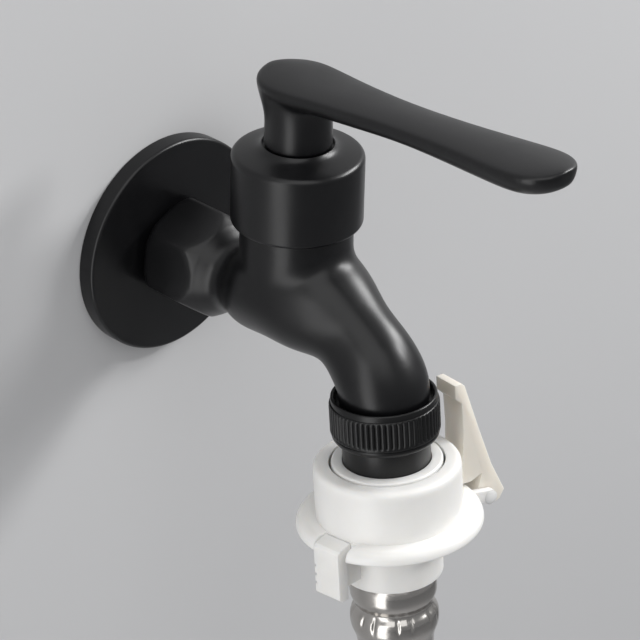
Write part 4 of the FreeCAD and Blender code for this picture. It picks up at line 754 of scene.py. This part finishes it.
def stage_plane(name, size, turn, finish):
    """A square face, turned into place by a matrix."""
    shape = bmesh.new()
    bmesh.ops.create_grid(shape, x_segments=1, y_segments=1, size=size)
    shape.transform(turn)
    mesh = bpy.data.meshes.new(name)
    shape.to_mesh(mesh)
    shape.free()
    plane = bpy.data.objects.new(name, mesh)
    plane.data.materials.append(finish)
    bpy.context.scene.collection.objects.link(plane)


WALL_GAP = 0.0003
FLOOR_HEIGHT = -1.2
HALF_STAGE = 4.0
pale = stage_finish("pale_wall", (0.555, 0.555, 0.56))
stage_plane("wall", HALF_STAGE,
            Matrix.Translation((0, WALL_GAP, 0)) @ Matrix.Rotation(math.pi / 2, 4, "X"), pale)
pale_floor = stage_finish("pale_floor", (0.7, 0.7, 0.71))
stage_plane("floor", HALF_STAGE, Matrix.Translation((0, -HALF_STAGE, FLOOR_HEIGHT)), pale_floor)
print("stage: a wall and a floor")


# %% Lamps and world
TAP_CENTRE = Vector((0.0, -0.06, 0.0))


def soft_lamp(name, azimuth, elevation, distance, sides, power):
    """A wide lamp that looks at the tap from an azimuth and an elevation in degrees."""
    around = math.radians(azimuth)
    above = math.radians(elevation)
    away = Vector((math.sin(around) * math.cos(above), -math.cos(around) * math.cos(above),
                   math.sin(above)))
    lamp = bpy.data.lights.new(name, "AREA")
    lamp.shape = "RECTANGLE"
    lamp.size, lamp.size_y = sides
    lamp.energy = power
    holder = bpy.data.objects.new(name, lamp)
    holder.location = TAP_CENTRE + away * distance
    holder.rotation_mode = "QUATERNION"
    holder.rotation_quaternion = away.to_track_quat("Z", "Y")
    bpy.context.scene.collection.objects.link(holder)


soft_lamp("key_lamp", 72, 33, 1.0, (0.34, 0.34), 6.6)
soft_lamp("shadow_lamp", 50, 32, 1.2, (0.16, 0.16), 4.5)
soft_lamp("left_lamp", -76, -6, 1.0, (0.45, 1.5), 5.4)
soft_lamp("top_lamp", -40, 58, 1.1, (1.2, 1.2), 5.9)

world = bpy.data.worlds.new("studio")
world.use_nodes = True
bpy.context.scene.world = world
background = world.node_tree.nodes["Background"]
background.inputs["Color"].default_value = (0.8, 0.81, 0.83, 1)
background.inputs["Strength"].default_value = 0.36
bpy.context.scene.view_settings.view_transform = "Standard"
lamps = [item for item in bpy.context.scene.objects if item.type == "LIGHT"]
print("lit by", len(lamps), "lamps")

# %% Camera at the photograph's angle
CAMERA_AZIMUTH = math.radians(-46.20)
CAMERA_ELEVATION = math.radians(29.65)
CAMERA_ROLL = math.radians(1.37)
CAMERA_PLACE = Vector((-0.48256, -0.52151, 0.37971))

back = Vector((
    math.sin(CAMERA_AZIMUTH) * math.cos(CAMERA_ELEVATION),
    -math.cos(CAMERA_AZIMUTH) * math.cos(CAMERA_ELEVATION),
    math.sin(CAMERA_ELEVATION),
))
level = Vector((math.cos(CAMERA_AZIMUTH), math.sin(CAMERA_AZIMUTH), 0))
upward = back.cross(level)
right = level * math.cos(CAMERA_ROLL) + upward * math.sin(CAMERA_ROLL)
up = upward * math.cos(CAMERA_ROLL) - level * math.sin(CAMERA_ROLL)
lens = bpy.data.cameras.new("camera")
lens.sensor_width = 36
lens.lens = 168.75
lens.clip_start = 0.01
lens.clip_end = 20
camera = bpy.data.objects.new("camera", lens)
camera.matrix_world = (
    Matrix.Translation(CAMERA_PLACE) @ Matrix((right, up, back)).transposed().to_4x4()
)
bpy.context.scene.collection.objects.link(camera)
bpy.context.scene.camera = camera
print("camera at", [round(part, 3) for part in CAMERA_PLACE])
